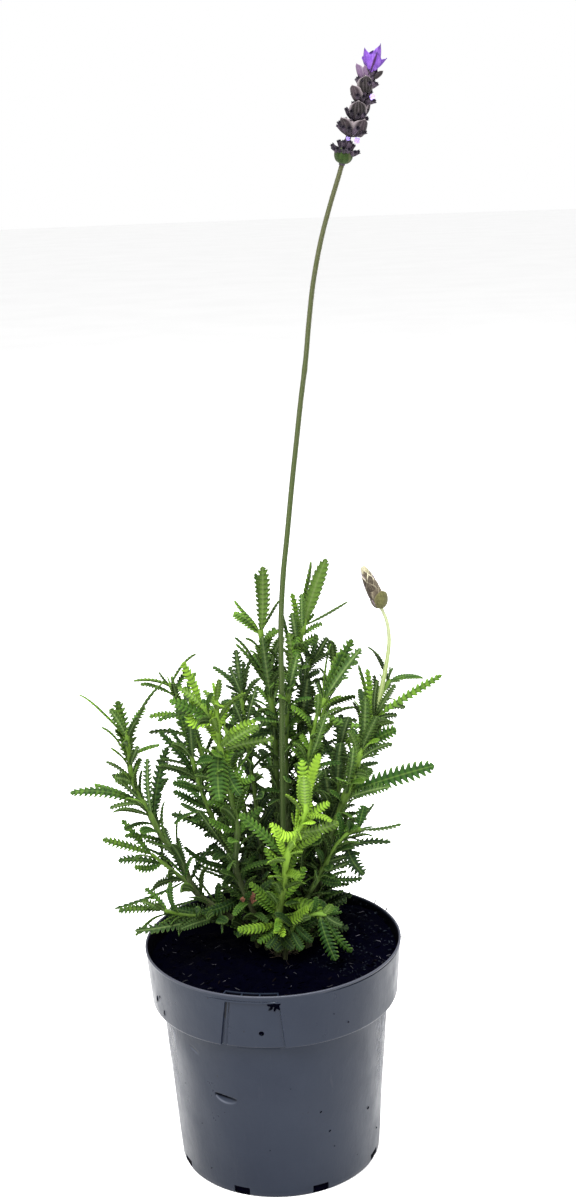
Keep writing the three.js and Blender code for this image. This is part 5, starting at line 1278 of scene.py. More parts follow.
def soil_chips(earth, dice):
    bits = Shape()
    for _ in range(520):
        radius, x, y = strewn(dice, 66 * math.sqrt(dice()))
        if radius > soil_edge(x, y) - 1.5:
            continue
        size = dice.between(0.5, 1.5) ** 1.4
        chip(bits, on_soil(x, y, 0.3 * size), size, lying(dice, 0.5), dice, mark=0.35 + 0.45 * dice() * dice())
    for _ in range(60):         # rough bark behind the plant on the right
        x, y = dice.between(10, 34), dice.between(46, 62)
        if math.hypot(x, y) > 64:
            continue
        size = dice.between(1.0, 2.2)
        chip(bits, on_soil(x, y, 0.25 * size), size, lying(dice, 0.6), dice, mark=dice.between(0.4, 0.95),
             shape_of=(1.3, 0.7, 0.4))
    for _ in range(620):        # pale flakes on the bank at the right, and crumbs up its wall
        turn, radius = math.radians(dice.between(-42, 88)), 66.4 * dice.between(0.1, 1.0) ** 0.45
        size = dice.between(0.35, 0.95)
        rise = dice.between(0.0, 4.5) if radius > 64 else 0.25 * size
        place = on_soil(radius * math.cos(turn), radius * math.sin(turn), rise)
        place[2] = min(place[2], 125.2)
        chip(bits, place, size, lying(dice, 0.4), dice, mark=0.2, shape_of=(1.0, 0.6, 0.3), grey=dice() ** 1.6)
    for k in range(DRAIN["count"]):      # dark blocks of potting mix fill the drain slots, as painted shade inside them
        bearing = 360 * (k + 0.5) / DRAIN["count"]
        arc_box(bits, (9.0, 5.3), (bearing - 4.4, bearing + 4.4), (0.25, 4.9), 6)
    dress(bits.made("soil_chips", [earth]), "potting_mix")


# Bits on the pot's lip: place, direction and length.
LIP_BITS = ((58.2, 40.4, (0.3, 0.1, 0.9), 3.4), (64.2, 29.8, (0.2, 0.1, 0.9), 1.8),
            (64.8, 29.0, (0.9, 0.1, 0.3), 1.6), (71.4, -2.0, (0.3, 0, 0.9), 1.5),
            (71.6, -8.2, (0.9, -0.1, -0.3), 4.2))


def soil_fibres(dice):
    hairs = Shape()
    for _ in range(110):
        radius, x, y = strewn(dice, 64 * math.sqrt(dice()))
        if radius <= soil_edge(x, y) - 3:
            fibre(hairs, on_soil(x, y, 0.7), dice.between(0.8, 4.0), lying(dice, 0.15, 0.3), dice,
                  dice.between(0.08, 0.18), dice() ** 3, 0.9)
    for _ in range(46):         # the fibrous plug that the cutting was rooted in
        x, y = 5.5 + dice.between(-6, 6), -3.0 + dice.between(-4, 4)
        fibre(hairs, on_soil(x, y, dice.between(0.4, 1.3)), dice.between(3, 7.5), lying(dice, 0.25, 0.4, 0.6), dice,
              0.17, dice.between(0.5, 1.0))
    for x, y, way, length in LIP_BITS:
        fibre(hairs, np.array([x, y, POT["height"] + 0.4]), length, np.array(way), dice, 0.34, 0.0)
    dress(hairs.made("soil_fibres", [fibre_material()]), "potting_mix")


# Grains that stick to the wall: bearing, height and size.
SPECKS = [(-57.1, 57.3, 0.4), (22.4, 50.1, 0.6), (56.2, 38.2, 0.8), (27.7, 36.8, 0.65), (30.6, 26.3, 0.4),
          (47.5, 13.7, 0.4), (34.1, 103, 0.45), (26.6, 110.6, 0.3), (-5.2, 29.9, 0.4), (-33.2, 35.1, 0.35),
          (-28.9, 50.2, 0.3), (6.7, 67.3, 0.3), (69.8, 18.2, 0.5), (-45.5, 37.7, 0.4), (-42, 11, 0.6),
          (118, 88, 0.5), (141, 47, 0.6), (173, 71, 0.4), (204, 106, 0.5), (222, 36, 0.5), (257, 83, 0.45),
          (188, 22, 0.4)]


def dry_leaf_and_crumbs(earth):
    """A reddish dry leaf at the foot of the plant, what sticks to the pot's wall, and a dark crumb that fills the pit
    as painted shade.
    """
    n = Nodes("dry_leaf")
    tone = n.colours(n.noise(700, 4), (0.3, (0.075, 0.024, 0.012)), (0.6, (0.24, 0.092, 0.05)),
                     (0.8, (0.36, 0.2, 0.12)))
    n.bump(n.noise(1500, 3), 0.3, 0.7)
    dry = n.done(Base_Color=tone, Roughness=0.75)
    shape = Shape()
    dice = Dice(88)
    for x, z, tip_x, tip_z, width in ((-12.5, 145, -10.0, 152.5, 4.6), (-12.5, 146, -16.5, 149.5, 3.6),
                                      (-12.0, 146, -7.0, 147.5, 3.2)):
        foot, tip = seen(x, z, -2), seen(tip_x, tip_z, -5)
        across_way = unit(np.cross(tip - foot, [0.1, 1, 0.2]))
        leaf(shape, foot, (foot + tip) / 2 + [0, -1.0, 0.4], tip, width, across_way, np.array([0, -1, 0.5]), 0.5,
             dice, small=True)
    dress(shape.made("dry_leaf", [dry]), "woody_bark")
    crumbs = Shape()

    def stuck(bearing, z, size, rise, proportions, slot=0, inset=0.0):
        """A bit on the wall whose length leans by rise, in millimetres up for each one sideways."""
        radius = collar_radius(z) if z > 95.5 else body_radius(z)
        side = level(math.radians(bearing))
        place = (radius - inset) * np.array([side[1], -side[0], 0]) + UP * z
        chip(crumbs, place, size, side + UP * rise, dice, 0.1, slot, proportions)

    for bearing, z, size in SPECKS:
        stuck(bearing, z, size, 0.7, (1.0, 0.7, 0.5))
    # a dark crumb fills the pit: painted shade inside the hole
    stuck(PIT["bearing"], PIT["z"], 1.35, 0.2, (0.95, 0.9, 0.5), inset=PANEL["depth"] + 0.5)
    for bearing, z, size in ((-66.7, 105, 2.0), (-60.0, 100.1, 1.6), (-63, 108, 0.9)):      # streaks of wet soil
        stuck(bearing, z, size, 9, (1.0, 0.12, 0.3))
    # A star of wet soil near the panel's top, and a pale scuff on the body.
    for side, z, size, rise in ((0.3, 121.3, 3.4, 0.05), (1.6, 120.4, 2.2, -1.2), (-0.7, 119.8, 1.9, 1.5),
                                (0.7, 119.2, 1.9, 3.0), (2.1, 118.6, 1.4, -0.6), (-1.3, 118.4, 1.1, 0.4)):
        stuck(side, z, size, rise, (1.0, 0.3, 0.42), inset=0.5)
    for side, z, rise in ((-9.8, 56.2, 3), (-9.0, 55.8, -1.4), (-8.3, 55.2, 3.5)):
        stuck(side, z, 1.25, rise, (1.0, 0.08, 0.14), 1, 0.1)
    n = Nodes("pale_scuff")
    pale = n.colours(n.noise(900, 3), (0.4, (0.05, 0.055, 0.07)), (0.65, (0.22, 0.23, 0.26)))
    dress(crumbs.made("crumbs", [earth, n.done(Base_Color=pale, Roughness=0.7)]), "potting_mix")


CROWN = dict(x=3.0, y=12.5, radius=3.8, top=8.0)


def crown_piece():
    n = Nodes("woody_bark")
    grooves = n.noise(420, 5, 0.7, stretch=(1, 1, 0.25), distortion=0.8)
    fine = n.noise(1700, 3)
    tone = n.colours(grooves, (0.3, (0.02, 0.013, 0.008)), (0.55, (0.09, 0.062, 0.035)),
                     (0.75, (0.2, 0.15, 0.095)))
    n.bump(grooves, 1.0, 0.9)
    n.bump(fine, 0.2, 0.6)
    bark = n.done(Base_Color=tone, Roughness=0.85)
    shape = Shape()
    rise = np.linspace(-ROOT_DEPTH, CROWN["top"], 40)
    share = (rise + ROOT_DEPTH) / (CROWN["top"] + ROOT_DEPTH)
    radius = CROWN["radius"] * np.interp(share, [0, 0.7, 0.9, 1], [0.8, 1.0, 0.86, 0.55])
    radius = radius * (1 + 0.06 * np.sin(share * 34))
    line = np.stack([CROWN["x"] + 0.4 * np.sin(share * 9), CROWN["y"] + 0.3 * np.cos(share * 7),
                     SOIL_LEVEL + rise], -1)
    tube(shape, line, radius, 28, 0, ridges=0.07, ridge_count=7)
    dice = Dice(73)
    for _ in range(5):           # stubs of old stems
        turn, z = dice.between(0, 6.28), SOIL_LEVEL + dice.between(2, 7)
        out = level(turn, 0.7)
        foot = np.array([CROWN["x"], CROWN["y"], z]) + out * 2
        tube(shape, [foot, foot + out * 1.2, foot + out * 2.2 + 0.5 * UP], [1.2, 1.05, 0.9], 9)
    dress(shape.made("woody_crown", [bark]), "woody_bark", "crown")


pot_piece()
potting_mix = soil_material()
soil_block(potting_mix)
soil_dice = Dice(611)
soil_chips(potting_mix, soil_dice)
soil_fibres(soil_dice)
crown_piece()
dry_leaf_and_crumbs(potting_mix)

# ---------------------------------------------------------------- the flower

FLOWER_STEM = dict(foot=(6.8, 3), radius=(1.7, 1.15), course=[
    (7, 150, -2), (7.8, 190, -6), (8.8, 230, -8), (9.8, 265, -8), (10.9, 305, -6), (13.1, 331, -4), (15.5, 349, -2),
    (19.5, 380, 0), (22.3, 400, 0), (25.1, 420, 0), (28.2, 440, 0), (30.6, 460, 0), (33.5, 480, 0), (37.9, 500, 0),
    (43.3, 518, 0), (47.4, 530, 0), (49.4, 536.2, 0)])
SPIKE_AXIS = [(49.2, 535.6, 0), (51.6, 545, 0), (55.2, 555, 0), (58.6, 563, 0), (61.6, 572, 0), (64, 580, 0)]


HAIR = 0.045     # how far a hair's corners stand from its middle at its foot


def hairs_on(shape, curve, radius, count, length, dice, start=0.0, stop=1.0):
    """Fine hairs that stand out from a stem: three-sided spikes."""
    for _ in range(count):
        share = dice.between(start, stop)
        centre, along = curve.at(share), curve.along(share)
        out = unit(turned(unit(np.cross(along, [0.3, 0.9, 0.1])), along, dice.between(0, 2 * math.pi)))
        foot = centre + out * mix(*radius, share) * 0.97
        way = unit(out + along * dice.between(-0.2, 0.7))
        side = unit(np.cross(way, along + 0.01))
        tip = foot + way * length * dice.between(0.6, 1.3)
        points = [foot + side * HAIR, foot + (along - side * 0.5) * HAIR, foot - (along + side * 0.5) * HAIR, tip]
        shape.add(points, [[0, 1, 3], [1, 2, 3], [2, 0, 3], [0, 2, 1]], 1, (share, 1, 0), (1.0, 0, 0))


def hair_material(name, tone):
    n = Nodes(name)
    colour = n.blend(n.span(n.noise(900, 2), 0.3, 0.7), tone, tuple(0.6 * c for c in tone))
    return n.done(Base_Color=colour, Roughness=0.6, Sheen_Weight=0.3)


def flower_stem_piece():
    skin = stem_material("flower_stem_skin", (0.012, 0.028, 0.004), (0.022, 0.042, 0.006), (0.044, 0.046, 0.02),
                         (0.1, 0.11, 0.052), hair=0.36)
    curve = stem_curve(FLOWER_STEM["foot"], [seen(*p) for p in FLOWER_STEM["course"]])
    shares = np.linspace(0, 1, 420)
    radius = mix(*FLOWER_STEM["radius"], shares)
    for reading, swell, length in (((27.4, 435, 0), 0.12, 2.2), ((13.1, 331, -4), 0.05, 2.5)):      # its joints
        away = (shares - share_near(curve, seen(*reading))) * curve.length
        radius = radius * (1 + swell * np.exp(-(away / length) ** 2))
    shape = Shape()
    tube(shape, curve.at(shares), radius * 0.98, 16, 0, ridges=0.07)
    hairs_on(shape, curve, FLOWER_STEM["radius"], 2600, 0.5, Dice(41), 0.3, 0.999)
    hairs_on(shape, curve, FLOWER_STEM["radius"], 1500, 0.6, Dice(42), 0.68, 0.999)
    dress(shape.made("flower_stalk", [skin, hair_material("stem_hairs", (0.22, 0.21, 0.15))]), "flower_stem_skin",
          "flower_stem")


def wool_material(name, deep, pale, edge, hair=(0.5, 0.45, 0.5), rim=0.5):
    """Woolly flower parts: place is (along, across, under) and mark is (tone, rib, 0)."""
    n = Nodes(name)
    across = n.read("place")[1]
    tone, rib, _ = n.read("mark")
    fluff = n.noise(3000, 4, 0.7)
    patches = n.noise(600, 3)
    colour = n.colours(n.math("ADD", tone, n.span(patches, 0.3, 0.7, -0.25, 0.25)), (0.1, deep), (0.9, pale))
    colour = n.blend(n.span(rib, 0.3, 1.0, 0.0, 0.12), colour, edge)
    colour = n.blend(n.span(across, 0.72, 1.0, 0.0, rim), colour, edge)
    colour = n.blend(n.span(fluff, 0.52, 0.72, 0.0, 0.4), colour, hair)
    n.bump(fluff, 0.18, 0.8)
    n.bump(patches, 0.3, 0.5)
    return n.done(Base_Color=colour, Roughness=0.75, Sheen_Weight=0.05, Sheen_Roughness=0.45,
                  Specular_IOR_Level=0.12)


# How wide a scale is along its length, as a share of its width.
BRACT_OUTLINE = ([0, 0.1, 0.25, 0.42, 0.58, 0.72, 0.84, 0.93, 1.0],
                 [0.3, 0.62, 0.9, 1.0, 0.93, 0.68, 0.38, 0.17, 0.02])
ROUND_OUTLINE = ([0, 0.08, 0.22, 0.42, 0.62, 0.8, 0.92, 1.0], [0.32, 0.66, 0.92, 1.0, 0.96, 0.74, 0.44, 0.04])
CUP_OUTLINE = ([0, 0.08, 0.2, 0.38, 0.56, 0.7, 0.8, 0.88, 0.94, 1.0],
               [0.4, 0.72, 0.94, 1.0, 0.98, 0.88, 0.7, 0.42, 0.16, 0.02])
PETAL_OUTLINE = ([0, 0.1, 0.25, 0.45, 0.62, 0.76, 0.87, 0.94, 1.0],
                 [0.24, 0.4, 0.68, 0.94, 1.0, 0.82, 0.5, 0.25, 0.02])


def bract(shape, foot, tip, width, out, cup=0.22, curl=0.5, tone=0.5, slot=0, outline=BRACT_OUTLINE, thick=0.3,
          veins=5, wave=0.0, tip_out=0.0, dice=None):
    """A cupped scale with raised veins. out is the side that it bulges to."""
    rows, columns = 17, 11
    out = np.array(out, float)
    way = tip - foot
    length = np.linalg.norm(way)
    side = unit(np.cross(way, out))
    face = unit(np.cross(side, way))
    face = face if np.dot(face, out) > 0 else -face
    s = np.linspace(0, 1, rows)[:, None]
    u = np.linspace(-1, 1, columns)[None]
    half = width / 2 * np.interp(s[:, 0], *outline)[:, None]
    bulge = width * cup * np.sin(math.pi * s ** 0.8) - width * curl * 0.5 * (half / width * 2 * u) ** 2
    rib = 0.5 + 0.5 * np.cos(math.pi * veins * u) * np.ones_like(s)
    lift = bulge + 0.09 * rib * (1 - s) + tip_out * length * s ** 3
    if wave:
        lift = lift + wave * u ** 2 * np.sin(7 * s + dice.between(0, 6) + 2 * u)
    top = foot + way * s[..., None] + side * (half * u)[..., None] + face * lift[..., None]
    under = top - face * (thick * (1 - 0.6 * np.abs(u)))[..., None]
    shape.blade(top, under, slot, s, np.maximum(np.abs(u), s ** 3), three(tone, rib, 0.0))


MOUTH = 7        # the ring of a calyx from which it is dark
WOOL, DUSKY, DARK, LILAC, MAUVE = range(5)      # the slots of the spike


def calyx(shape, foot, tip, radius, tone, dice):
    """A ribbed woolly tube, swollen past its middle, with a dark toothed mouth."""
    s = np.array([0, 0.06, 0.18, 0.34, 0.5, 0.66, 0.8, 0.9, 0.96, 1.0, 0.95, 0.82])
    size = np.array([0.3, 0.5, 0.72, 0.9, 1.0, 0.98, 0.86, 0.78, 0.84, 0.82, 0.6, 0.4])
    bend = unit(np.cross(tip - foot, [0.3, 0.5, 0.2])) * dice.between(-0.35, 0.35)
    line = foot + (tip - foot) * s[:, None] + bend * np.sin(math.pi * s)[:, None]
    way = unit(tip - foot)
    u = unit(np.cross(way, [0.4, 0.3, 0.85]))
    v = np.cross(way, u)
    angle = circle(20)
    ring = radius * size[:, None] * (1 + 0.08 * np.cos(10 * angle))[None]
    lobe = 0.35 * np.cos(5 * angle)[None] * ((s > 0.93) * (np.arange(len(s)) < 10))[:, None]
    points = (line[:, None] + (ring * np.cos(angle))[..., None] * u + (ring * np.sin(angle))[..., None] * v
              + lobe[..., None] * way)
    place = three(s[:, None], np.full((1, len(angle)), 0.3), 0.0)
    mark = three(tone, (np.cos(10 * angle) + 1)[None] / 2, np.zeros((len(s), 1)))
    for part, slot in ((slice(0, MOUTH + 1), WOOL), (slice(MOUTH, None), DARK)):
        shape.add(points[part], grid(len(points[part]), len(angle), closed=True), slot, place[part], mark[part])
    shape.fan(points[0], line[0], WOOL, (0, 0, 0), (tone, 0, 0), flip=True)
    shape.fan(points[-1], line[-1], DARK, (1, 0, 0), (0.0, 0, 0))


def corolla(shape, place, facing, size, dice, slot):
    """A small five-lobed flower mouth."""
    facing = unit(np.array(facing, float))
    u = unit(np.cross(facing, [0.2, 0.1, 0.95]))
    v = np.cross(facing, u)
    for k in range(5):
        turn = 2 * math.pi * k / 5 + dice.between(-0.15, 0.15)
        out = u * math.cos(turn) + v * math.sin(turn)
        tip = place + out * size * dice.between(0.8, 1.1) + facing * size * dice.between(-0.1, 0.35)
        bract(shape, place - facing * 0.2, tip, size * 0.85, facing, 0.1, 0.2, dice.between(0.3, 0.9), slot,
              PETAL_OUTLINE, 0.14, 1, 0.12, dice=dice)


def petal_material(name, streak=False):
    n = Nodes(name)
    along, across, _ = n.read("place")
    tone, rib, _ = n.read("mark")
    veins = n.noise(900, 4, 0.6, stretch=(1, 1, 0.3))
    colour = n.colours(n.math("ADD", tone, n.span(veins, 0.3, 0.7, -0.22, 0.22)),
                       (0.1, (0.055, 0.018, 0.145)), (0.55, (0.11, 0.042, 0.25)), (0.95, (0.22, 0.11, 0.37)))
    colour = n.blend(n.span(along, 0.78, 1.0, 0.0, 0.85), colour, (0.022, 0.008, 0.06))
    colour = n.blend(n.span(across, 0.8, 1.0, 0.0, 0.35), colour, (0.08, 0.03, 0.26))
    if streak:
        colour = n.blend(n.span(rib, 0.86, 0.97, 0.0, 0.95), colour, (0.02, 0.004, 0.025))
    n.bump(veins, 0.15, 0.6)
    return n.done(Base_Color=colour, Roughness=0.5, Specular_IOR_Level=0.15)


# Each whorl of the spike: share of the axis, how many calyces, their lean from the axis, length and radius.
WHORLS = [(0.1, 13, 64, 7.2, 1.2), (0.13, 8, 36, 6.6, 1.1), (0.31, 11, 60, 7.4, 1.2), (0.345, 7, 34, 6.8, 1.1),
          (0.47, 10, 56, 6.9, 1.1), (0.51, 7, 30, 6.6, 1.05), (0.65, 9, 54, 6.6, 1.1), (0.69, 6, 28, 6.2, 1.0),
          (0.8, 9, 50, 6.2, 1.0), (0.84, 6, 26, 5.6, 0.95), (0.92, 7, 38, 5.2, 0.9)]
# Its dusky bracts: foot and tip as seen, width, the way they bulge, tone.
DUSKY_BRACTS = [
    ((54.6, 548.6, -1.2), (50.2, 558.6, -2.6), 8.4, (-0.75, -0.65, 0), 0.3),
    ((57.2, 548.6, -1.4), (60.6, 557.2, -3.8), 8.6, (0.5, -0.85, 0), 0.4),
    ((57.6, 557.0, -1.8), (58.2, 566.0, -4.0), 8.8, (0.05, -1, 0), 0.12),
    ((58.2, 565.6, -1.6), (55.8, 573.4, -2.8), 6.6, (-0.55, -0.8, 0), 0.6),
    ((61.8, 569.2, -1.8), (61.8, 577.6, -3.6), 8.0, (0.15, -1, 0), 0.04),
    ((60.6, 575.6, -1.4), (58.3, 583.3, -2.2), 4.4, (-0.6, -0.7, 0), 0.95),
    ((65.2, 575.4, -1.2), (70.2, 579.0, -1.8), 2.6, (0.4, -0.8, 0.3), 0.0),
    ((63.0, 575.4, -1.8), (61.6, 582.4, -2.8), 3.4, (-0.1, -1, 0), 1.0),
    ((56.4, 549.4, 1.4), (58.4, 558.6, 3.6), 8.4, (0.2, 1, 0), 0.3),
    ((54.6, 549.8, 1.2), (51.8, 558.2, 3.0), 7.0, (-0.7, 0.7, 0), 0.45),
    ((58.6, 557.6, 1.6), (57.0, 566.0, 3.6), 8.4, (-0.2, 1, 0), 0.2),
    ((60.0, 558.6, 1.0), (63.0, 566.0, 1.8), 6.2, (0.9, 0.3, 0), 0.5),
    ((60.6, 566.0, 1.6), (62.2, 574.2, 3.4), 8.0, (0.25, 1, 0), 0.1),
    ((62.4, 571.0, 1.6), (60.6, 579.4, 2.8), 6.6, (-0.4, 0.9, 0), 0.7),
    ((64.4, 574.0, 1.4), (66.8, 581.6, 2.2), 4.6, (0.6, 0.7, 0), 0.8)]
# The violet bracts on top, which share one foot: tip as seen, width, the way they bulge, tone, and how far the
# tip flares.
VIOLET_BRACTS = [
    ((62.0, 590.4, -1.5), 6.6, (-0.7, -0.35, 0.1), 0.5, 0.02),
    ((69.6, 592.0, -0.6), 7.2, (0.6, -0.3, 0.1), 0.55, 0.0),
    ((72.2, 585.4, 1.5), 4.4, (0.9, 0.1, 0.3), 0.35, 0.06),
    ((66.0, 589.0, 4.2), 7.0, (0, 1, 0.1), 0.45, 0.02),
    ((61.0, 586.6, 3.2), 4.4, (-0.7, 0.7, 0.2), 0.4, 0.06)]


# The spike's woolly looks: deep, pale, edge and hair colours, and how strong the edge is.
WOOLS = dict(
    dusky_calyx=((0.004, 0.0025, 0.005), (0.044, 0.031, 0.046), (0.15, 0.12, 0.155), (0.17, 0.14, 0.18), 0.5),
    dusky_bract=((0.0045, 0.0035, 0.003), (0.03, 0.02, 0.026), (0.2, 0.17, 0.18), (0.085, 0.07, 0.078), 0.9),
    dark_mouth=((0.002, 0.001, 0.003), (0.008, 0.005, 0.012), (0.02, 0.014, 0.03), (0.05, 0.04, 0.065), 0.2),
    lilac_corolla=((0.2, 0.13, 0.5), (0.36, 0.27, 0.68), (0.45, 0.38, 0.75), (0.45, 0.4, 0.7), 0.3),
    mauve_bract=((0.022, 0.013, 0.028), (0.09, 0.055, 0.1), (0.2, 0.16, 0.2), (0.16, 0.12, 0.17), 0.8))


def spike_pieces():
    wools = [wool_material(name, *look) for name, look in WOOLS.items()]
    green = wool_material("green_bract", (0.008, 0.02, 0.002), (0.02, 0.044, 0.005), (0.085, 0.095, 0.045),
                          (0.07, 0.1, 0.04), rim=0.6)
    axis = Curve([seen(*p) for p in SPIKE_AXIS])
    shape = Shape()
    shares = np.linspace(0, 1, 60)
    tube(shape, axis.at(shares), mix(1.45, 0.9, shares), 12, WOOL, ridges=0.08, mark=(1.0, 0.6, 0))
    dice = Dice(77)

    def outward(share, bearing):
        along = axis.along(share)
        right = unit(np.cross(along, [0, 1, 0]))
        return turned(right, along, math.radians(bearing)), along

    for k, (share, count, spread, length, radius) in enumerate(WHORLS):
        for j in range(count):
            out, along = outward(share, 360 * (j + 0.35 * (dice() - 0.5)) / count + 23 * k)
            lean = math.radians(spread * dice.between(0.85, 1.12))
            foot = axis.at(share) + out * 0.9
            tip = foot + (out * math.sin(lean) + along * math.cos(lean)) * length * dice.between(0.86, 1.1)
            calyx(shape, foot, tip, radius * dice.between(0.88, 1.1), dice.between(0.15, 0.95), dice)
    for foot, tip, width, out, tone in DUSKY_BRACTS:
        out = unit(np.array(out, float))
        bract(shape, seen(*foot) + out * 1.3, seen(*tip) + out, width, out, 0.2, 0.95, tone,
              MAUVE if tone > 0.9 else DUSKY, CUP_OUTLINE)
    for x, z, depth, size in ((64.9, 567.3, -4.5, 1.7), (52.6, 548.2, -2.5, 1.3), (56.8, 547.0, -3.5, 1.7)):
        corolla(shape, seen(x, z, depth), (0.25, -1, 0.35), size, dice, LILAC)
    corolla(shape, axis.at(0.52) + np.array([-3.0, 5.5, 2.0]), (-0.3, 1, 0.3), 1.6, dice, LILAC)
    dress(shape.made("spike_calyces", wools), "dusky_calyx", "flower_spike")

    shape = Shape()
    for bearing, length, width, low in ((250, 8.4, 8.2, 0.02), (303, 8.2, 9.0, 0.02), (70, 8.2, 8.8, 0.02),
                                        (165, 7.6, 6.6, 0.03), (8, 7.2, 5.4, 0.035)):
        out, along = outward(low, bearing)
        foot = axis.at(low) + out * 0.8 - along * 0.2
        tip = foot + out * length * 0.46 + along * length * 0.9
        bract(shape, foot, tip, width, out, 0.3, 0.75, dice.between(0.35, 0.75), 0, ROUND_OUTLINE, 0.32, 6)
    dress(shape.made("spike_green_bracts", [green]), "green_bract", "flower_green_bracts")

    shape = Shape()
    base = seen(64.6, 579.6, 0)
    for tip, width, out, tone, flare in VIOLET_BRACTS:
        out = unit(np.array(out, float))
        bract(shape, base + out * 0.9, seen(*tip), width, out, 0.26, 0.6, tone, 0, PETAL_OUTLINE, 0.22, 1, 0.3,
              flare, dice)
    bract(shape, seen(64.1, 578.5, -2.6), seen(68.0, 588.1, -5.0), 7.4, (0.05, -1, 0.1), 0.2, 0.5, 0.5, 1,
          PETAL_OUTLINE, 0.22, 1, 0.12, 0.0, dice)
    dress(shape.made("spike_coma", [petal_material("violet_bract"), petal_material("coma_front", streak=True)]),
          "violet_bract", "flower_coma")


# ---------------------------------------------------------------- the bud

BUD_COURSE = [(60.6, 257, -4), (63.2, 268, -2), (66.1, 282, 0), (67.4, 293, 1), (66.4, 303, 1), (63.6, 310.65, 1)]
BUD_STALK = dict(radius=(1.3, 0.78), flare=0.25)
BUD = dict(base=(63.4, 311.1, 1), tip=(53.9, 334.3, 1), width=8.6)
# Each tier of scales: where it starts, how many, how far out, length, width, and whether it's cream.
TIERS = ((0.02, 5, 0.72, 8.0, 6.6, False), (0.15, 5, 0.9, 8.4, 6.4, False), (0.29, 5, 0.94, 8.4, 6.0, False),
         (0.43, 5, 0.9, 8.2, 5.6, False), (0.55, 4, 0.72, 8.0, 4.8, False), (0.66, 4, 0.5, 7.4, 3.8, True),
         (0.76, 3, 0.28, 5.6, 2.8, True))
SCALE, CREAM, VIOLET = 0, 1, 2      # the slots of the bud's head


def bud_stalk():
    carrier = stems[list(LEAFY_STEMS).index("right_outer")]["curves"][0][0]
    foot = carrier.at(1.0) + carrier.along(1.0) * 1.5 * GAP
    curve = Curve([foot, *[seen(*p) for p in BUD_COURSE]])
    skin = stem_material("pale_stalk", (0.11, 0.16, 0.03), (0.19, 0.24, 0.075), (0.3, 0.33, 0.19), (0.38, 0.4, 0.28),
                         hair=0.4)
    shares = np.linspace(0, 1, 120)
    radius = mix(*BUD_STALK["radius"], shares) * (1 + BUD_STALK["flare"] * ramp(shares, 0.96, 1))
    shape = Shape()
    tube(shape, curve.at(shares), radius, 14, 0, ridges=0.06)
    hairs_on(shape, curve, (1.3, 0.8), 900, 0.42, Dice(43))
    dress(shape.made("bud_stem", [skin, hair_material("bud_hairs", (0.36, 0.38, 0.28))]), "pale_stalk", "bud_stalk")


def bud_head():
    looks = [wool_material("bud_scale", (0.018, 0.013, 0.009), (0.085, 0.068, 0.046), (0.2, 0.175, 0.12),
                           (0.22, 0.2, 0.15), rim=0.7),
             wool_material("bud_tip", (0.2, 0.18, 0.1), (0.42, 0.39, 0.27), (0.5, 0.48, 0.38), (0.5, 0.49, 0.42)),
             wool_material("bud_violet", (0.05, 0.03, 0.05), (0.12, 0.085, 0.115), (0.25, 0.2, 0.22),
                           (0.3, 0.27, 0.27))]
    base, tip = seen(*BUD["base"]), seen(*BUD["tip"])
    way, length, half = unit(tip - base), np.linalg.norm(tip - base), BUD["width"] / 2
    right = unit(np.cross(way, [0, 1, 0]))
    dice = Dice(51)
    shape = Shape()
    s = np.linspace(0, 1, 24)
    body = half * np.interp(s, [0, 0.12, 0.35, 0.55, 0.8, 1], [0.4, 0.62, 0.8, 0.72, 0.4, 0.1])
    tube(shape, base + way * (s * length * 0.92)[:, None], body, 16, 0, mark=(0.2, 0, 0))
    for k, (start, count, out_share, long, wide, cream) in enumerate(TIERS):
        for j in range(count):
            turn = 2 * math.pi * (j + 0.5 * (k % 2)) / count + dice.between(-0.2, 0.2)
            out = turned(right, way, turn)
            reach = half * out_share
            foot = base + way * start * length + out * reach * 0.62
            end = min(start * length + long, length * 0.995)
            top = base + way * end + out * reach * mix(0.95, 0.35, start)
            kind = CREAM if cream else (VIOLET if dice() < 0.25 else SCALE)
            bract(shape, foot, top, wide * dice.between(0.85, 1.05), out, 0.16, 0.5, dice.between(0.1, 0.95), kind,
                  BRACT_OUTLINE, 0.26, 5, tip_out=0.02)
            if 2 <= k <= 4 and dice() < 0.5:     # a cream edge that shows between the scales
                bract(shape, foot + way * 1.6, top + way * 1.2, wide * 0.6, out, 0.14, 0.4, 0.8, CREAM, BRACT_OUTLINE,
                      0.2, 3)
    dress(shape.made("bud_scales", looks), "bud_scale", "bud_head")


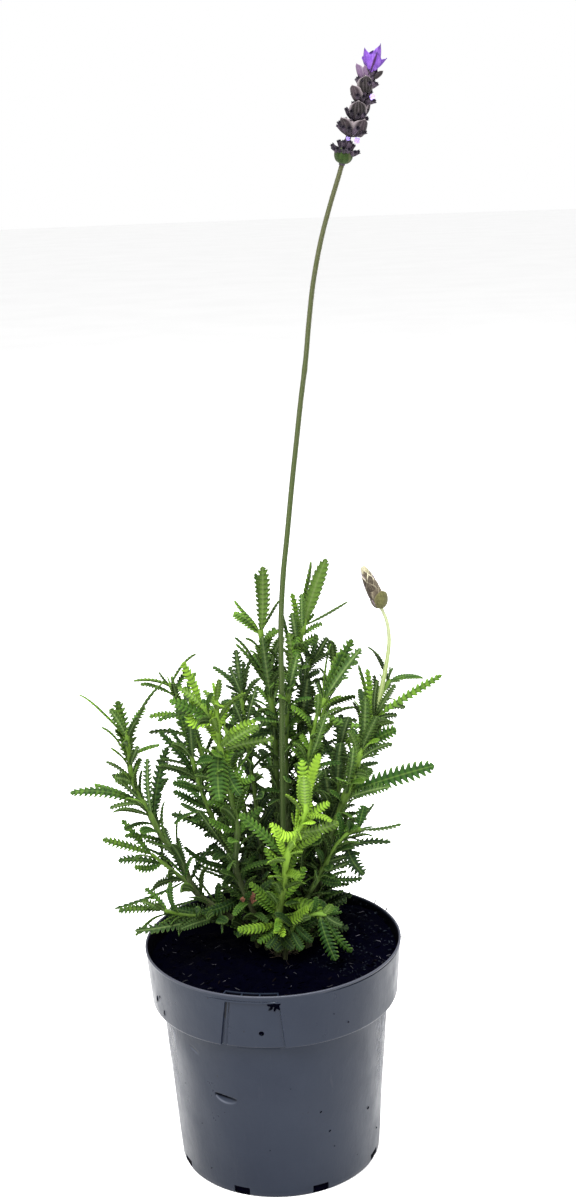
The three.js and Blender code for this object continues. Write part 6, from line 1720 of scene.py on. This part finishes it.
def bud_bract():
    olive = wool_material("bud_bract_skin", (0.035, 0.032, 0.01), (0.085, 0.085, 0.028), (0.14, 0.12, 0.06),
                          (0.16, 0.155, 0.09), rim=0.4)
    shape = Shape()
    for foot, tip, width, out, tone in (((64.4, 310.1, 0), (63.9, 319.5, -4.4), 8.0, (0.35, -1, 0.15), 0.6),
                                        ((63.1, 310.5, 2), (59.1, 318.9, 5.4), 7.0, (-0.4, 1, 0.15), 0.4)):
        bract(shape, seen(*foot), seen(*tip), width, out, 0.24, 0.75, tone, 0, ROUND_OUTLINE, 0.34, 6)
    dress(shape.made("bud_round_bract", [olive]), "bud_bract_skin", "bud_bract")


flower_stem_piece()
spike_pieces()
bud_stalk()
bud_head()
bud_bract()

# ---------------------------------------------------------------- floor, light and camera


def floor_piece():
    shape = Shape()
    radii = np.array([0, 100, 300, 1000, 3000, 9000, 20000.0])[:, None]
    angle = circle(64)
    shape.add(three(radii * np.cos(angle), radii * np.sin(angle), 0.0), grid(len(radii), 64, closed=True)[:, ::-1])
    n = Nodes("studio_floor")
    tone = n.colours(n.noise(3, 2), (0.3, (0.93, 0.93, 0.93)), (0.7, (0.96, 0.96, 0.96)))
    shape.made("floor", [n.done(Base_Color=tone, Roughness=0.9)])


def area_light(name, place, aim, size, watts):
    light = bpy.data.lights.new(name, "AREA")
    light.shape = "RECTANGLE"
    light.size, light.size_y = size
    light.energy = watts
    obj = bpy.data.objects.new(name, light)
    obj.location = place
    obj.rotation_euler = (Vector(aim) - Vector(place)).to_track_quat("-Z", "Y").to_euler()
    bpy.context.scene.collection.objects.link(obj)


floor_piece()
area_light("key", (-0.36, -1.0, 1.8), (0, 0, 0.25), (0.9, 0.9), 76)
area_light("fill", (1.3, -0.9, 1.0), (0, 0, 0.25), (0.8, 1.2), 8)
area_light("top", (0.25, 0.3, 1.9), (0, 0, 0.2), (0.8, 0.8), 40)

world = bpy.data.worlds.new("studio")
world.use_nodes = True
background = next(n for n in world.node_tree.nodes if n.type == "BACKGROUND")
background.inputs["Color"].default_value = (1, 1, 1, 1)
background.inputs["Strength"].default_value = 1.0
bpy.context.scene.world = world
bpy.context.scene.view_settings.view_transform = "Standard"

camera = bpy.data.objects.new("camera", bpy.data.cameras.new("camera"))
camera.data.lens, camera.data.sensor_width = LENS, SENSOR
camera.data.clip_start, camera.data.clip_end = 0.05, 60
camera.matrix_world = (Matrix.Translation(EYE / 1000)
                       @ Euler((math.radians(90 - PITCH), 0, 0)).to_matrix().to_4x4()
                       @ Matrix.Rotation(math.radians(ROLL), 4, "Z"))
bpy.context.scene.collection.objects.link(camera)
bpy.context.scene.camera = camera
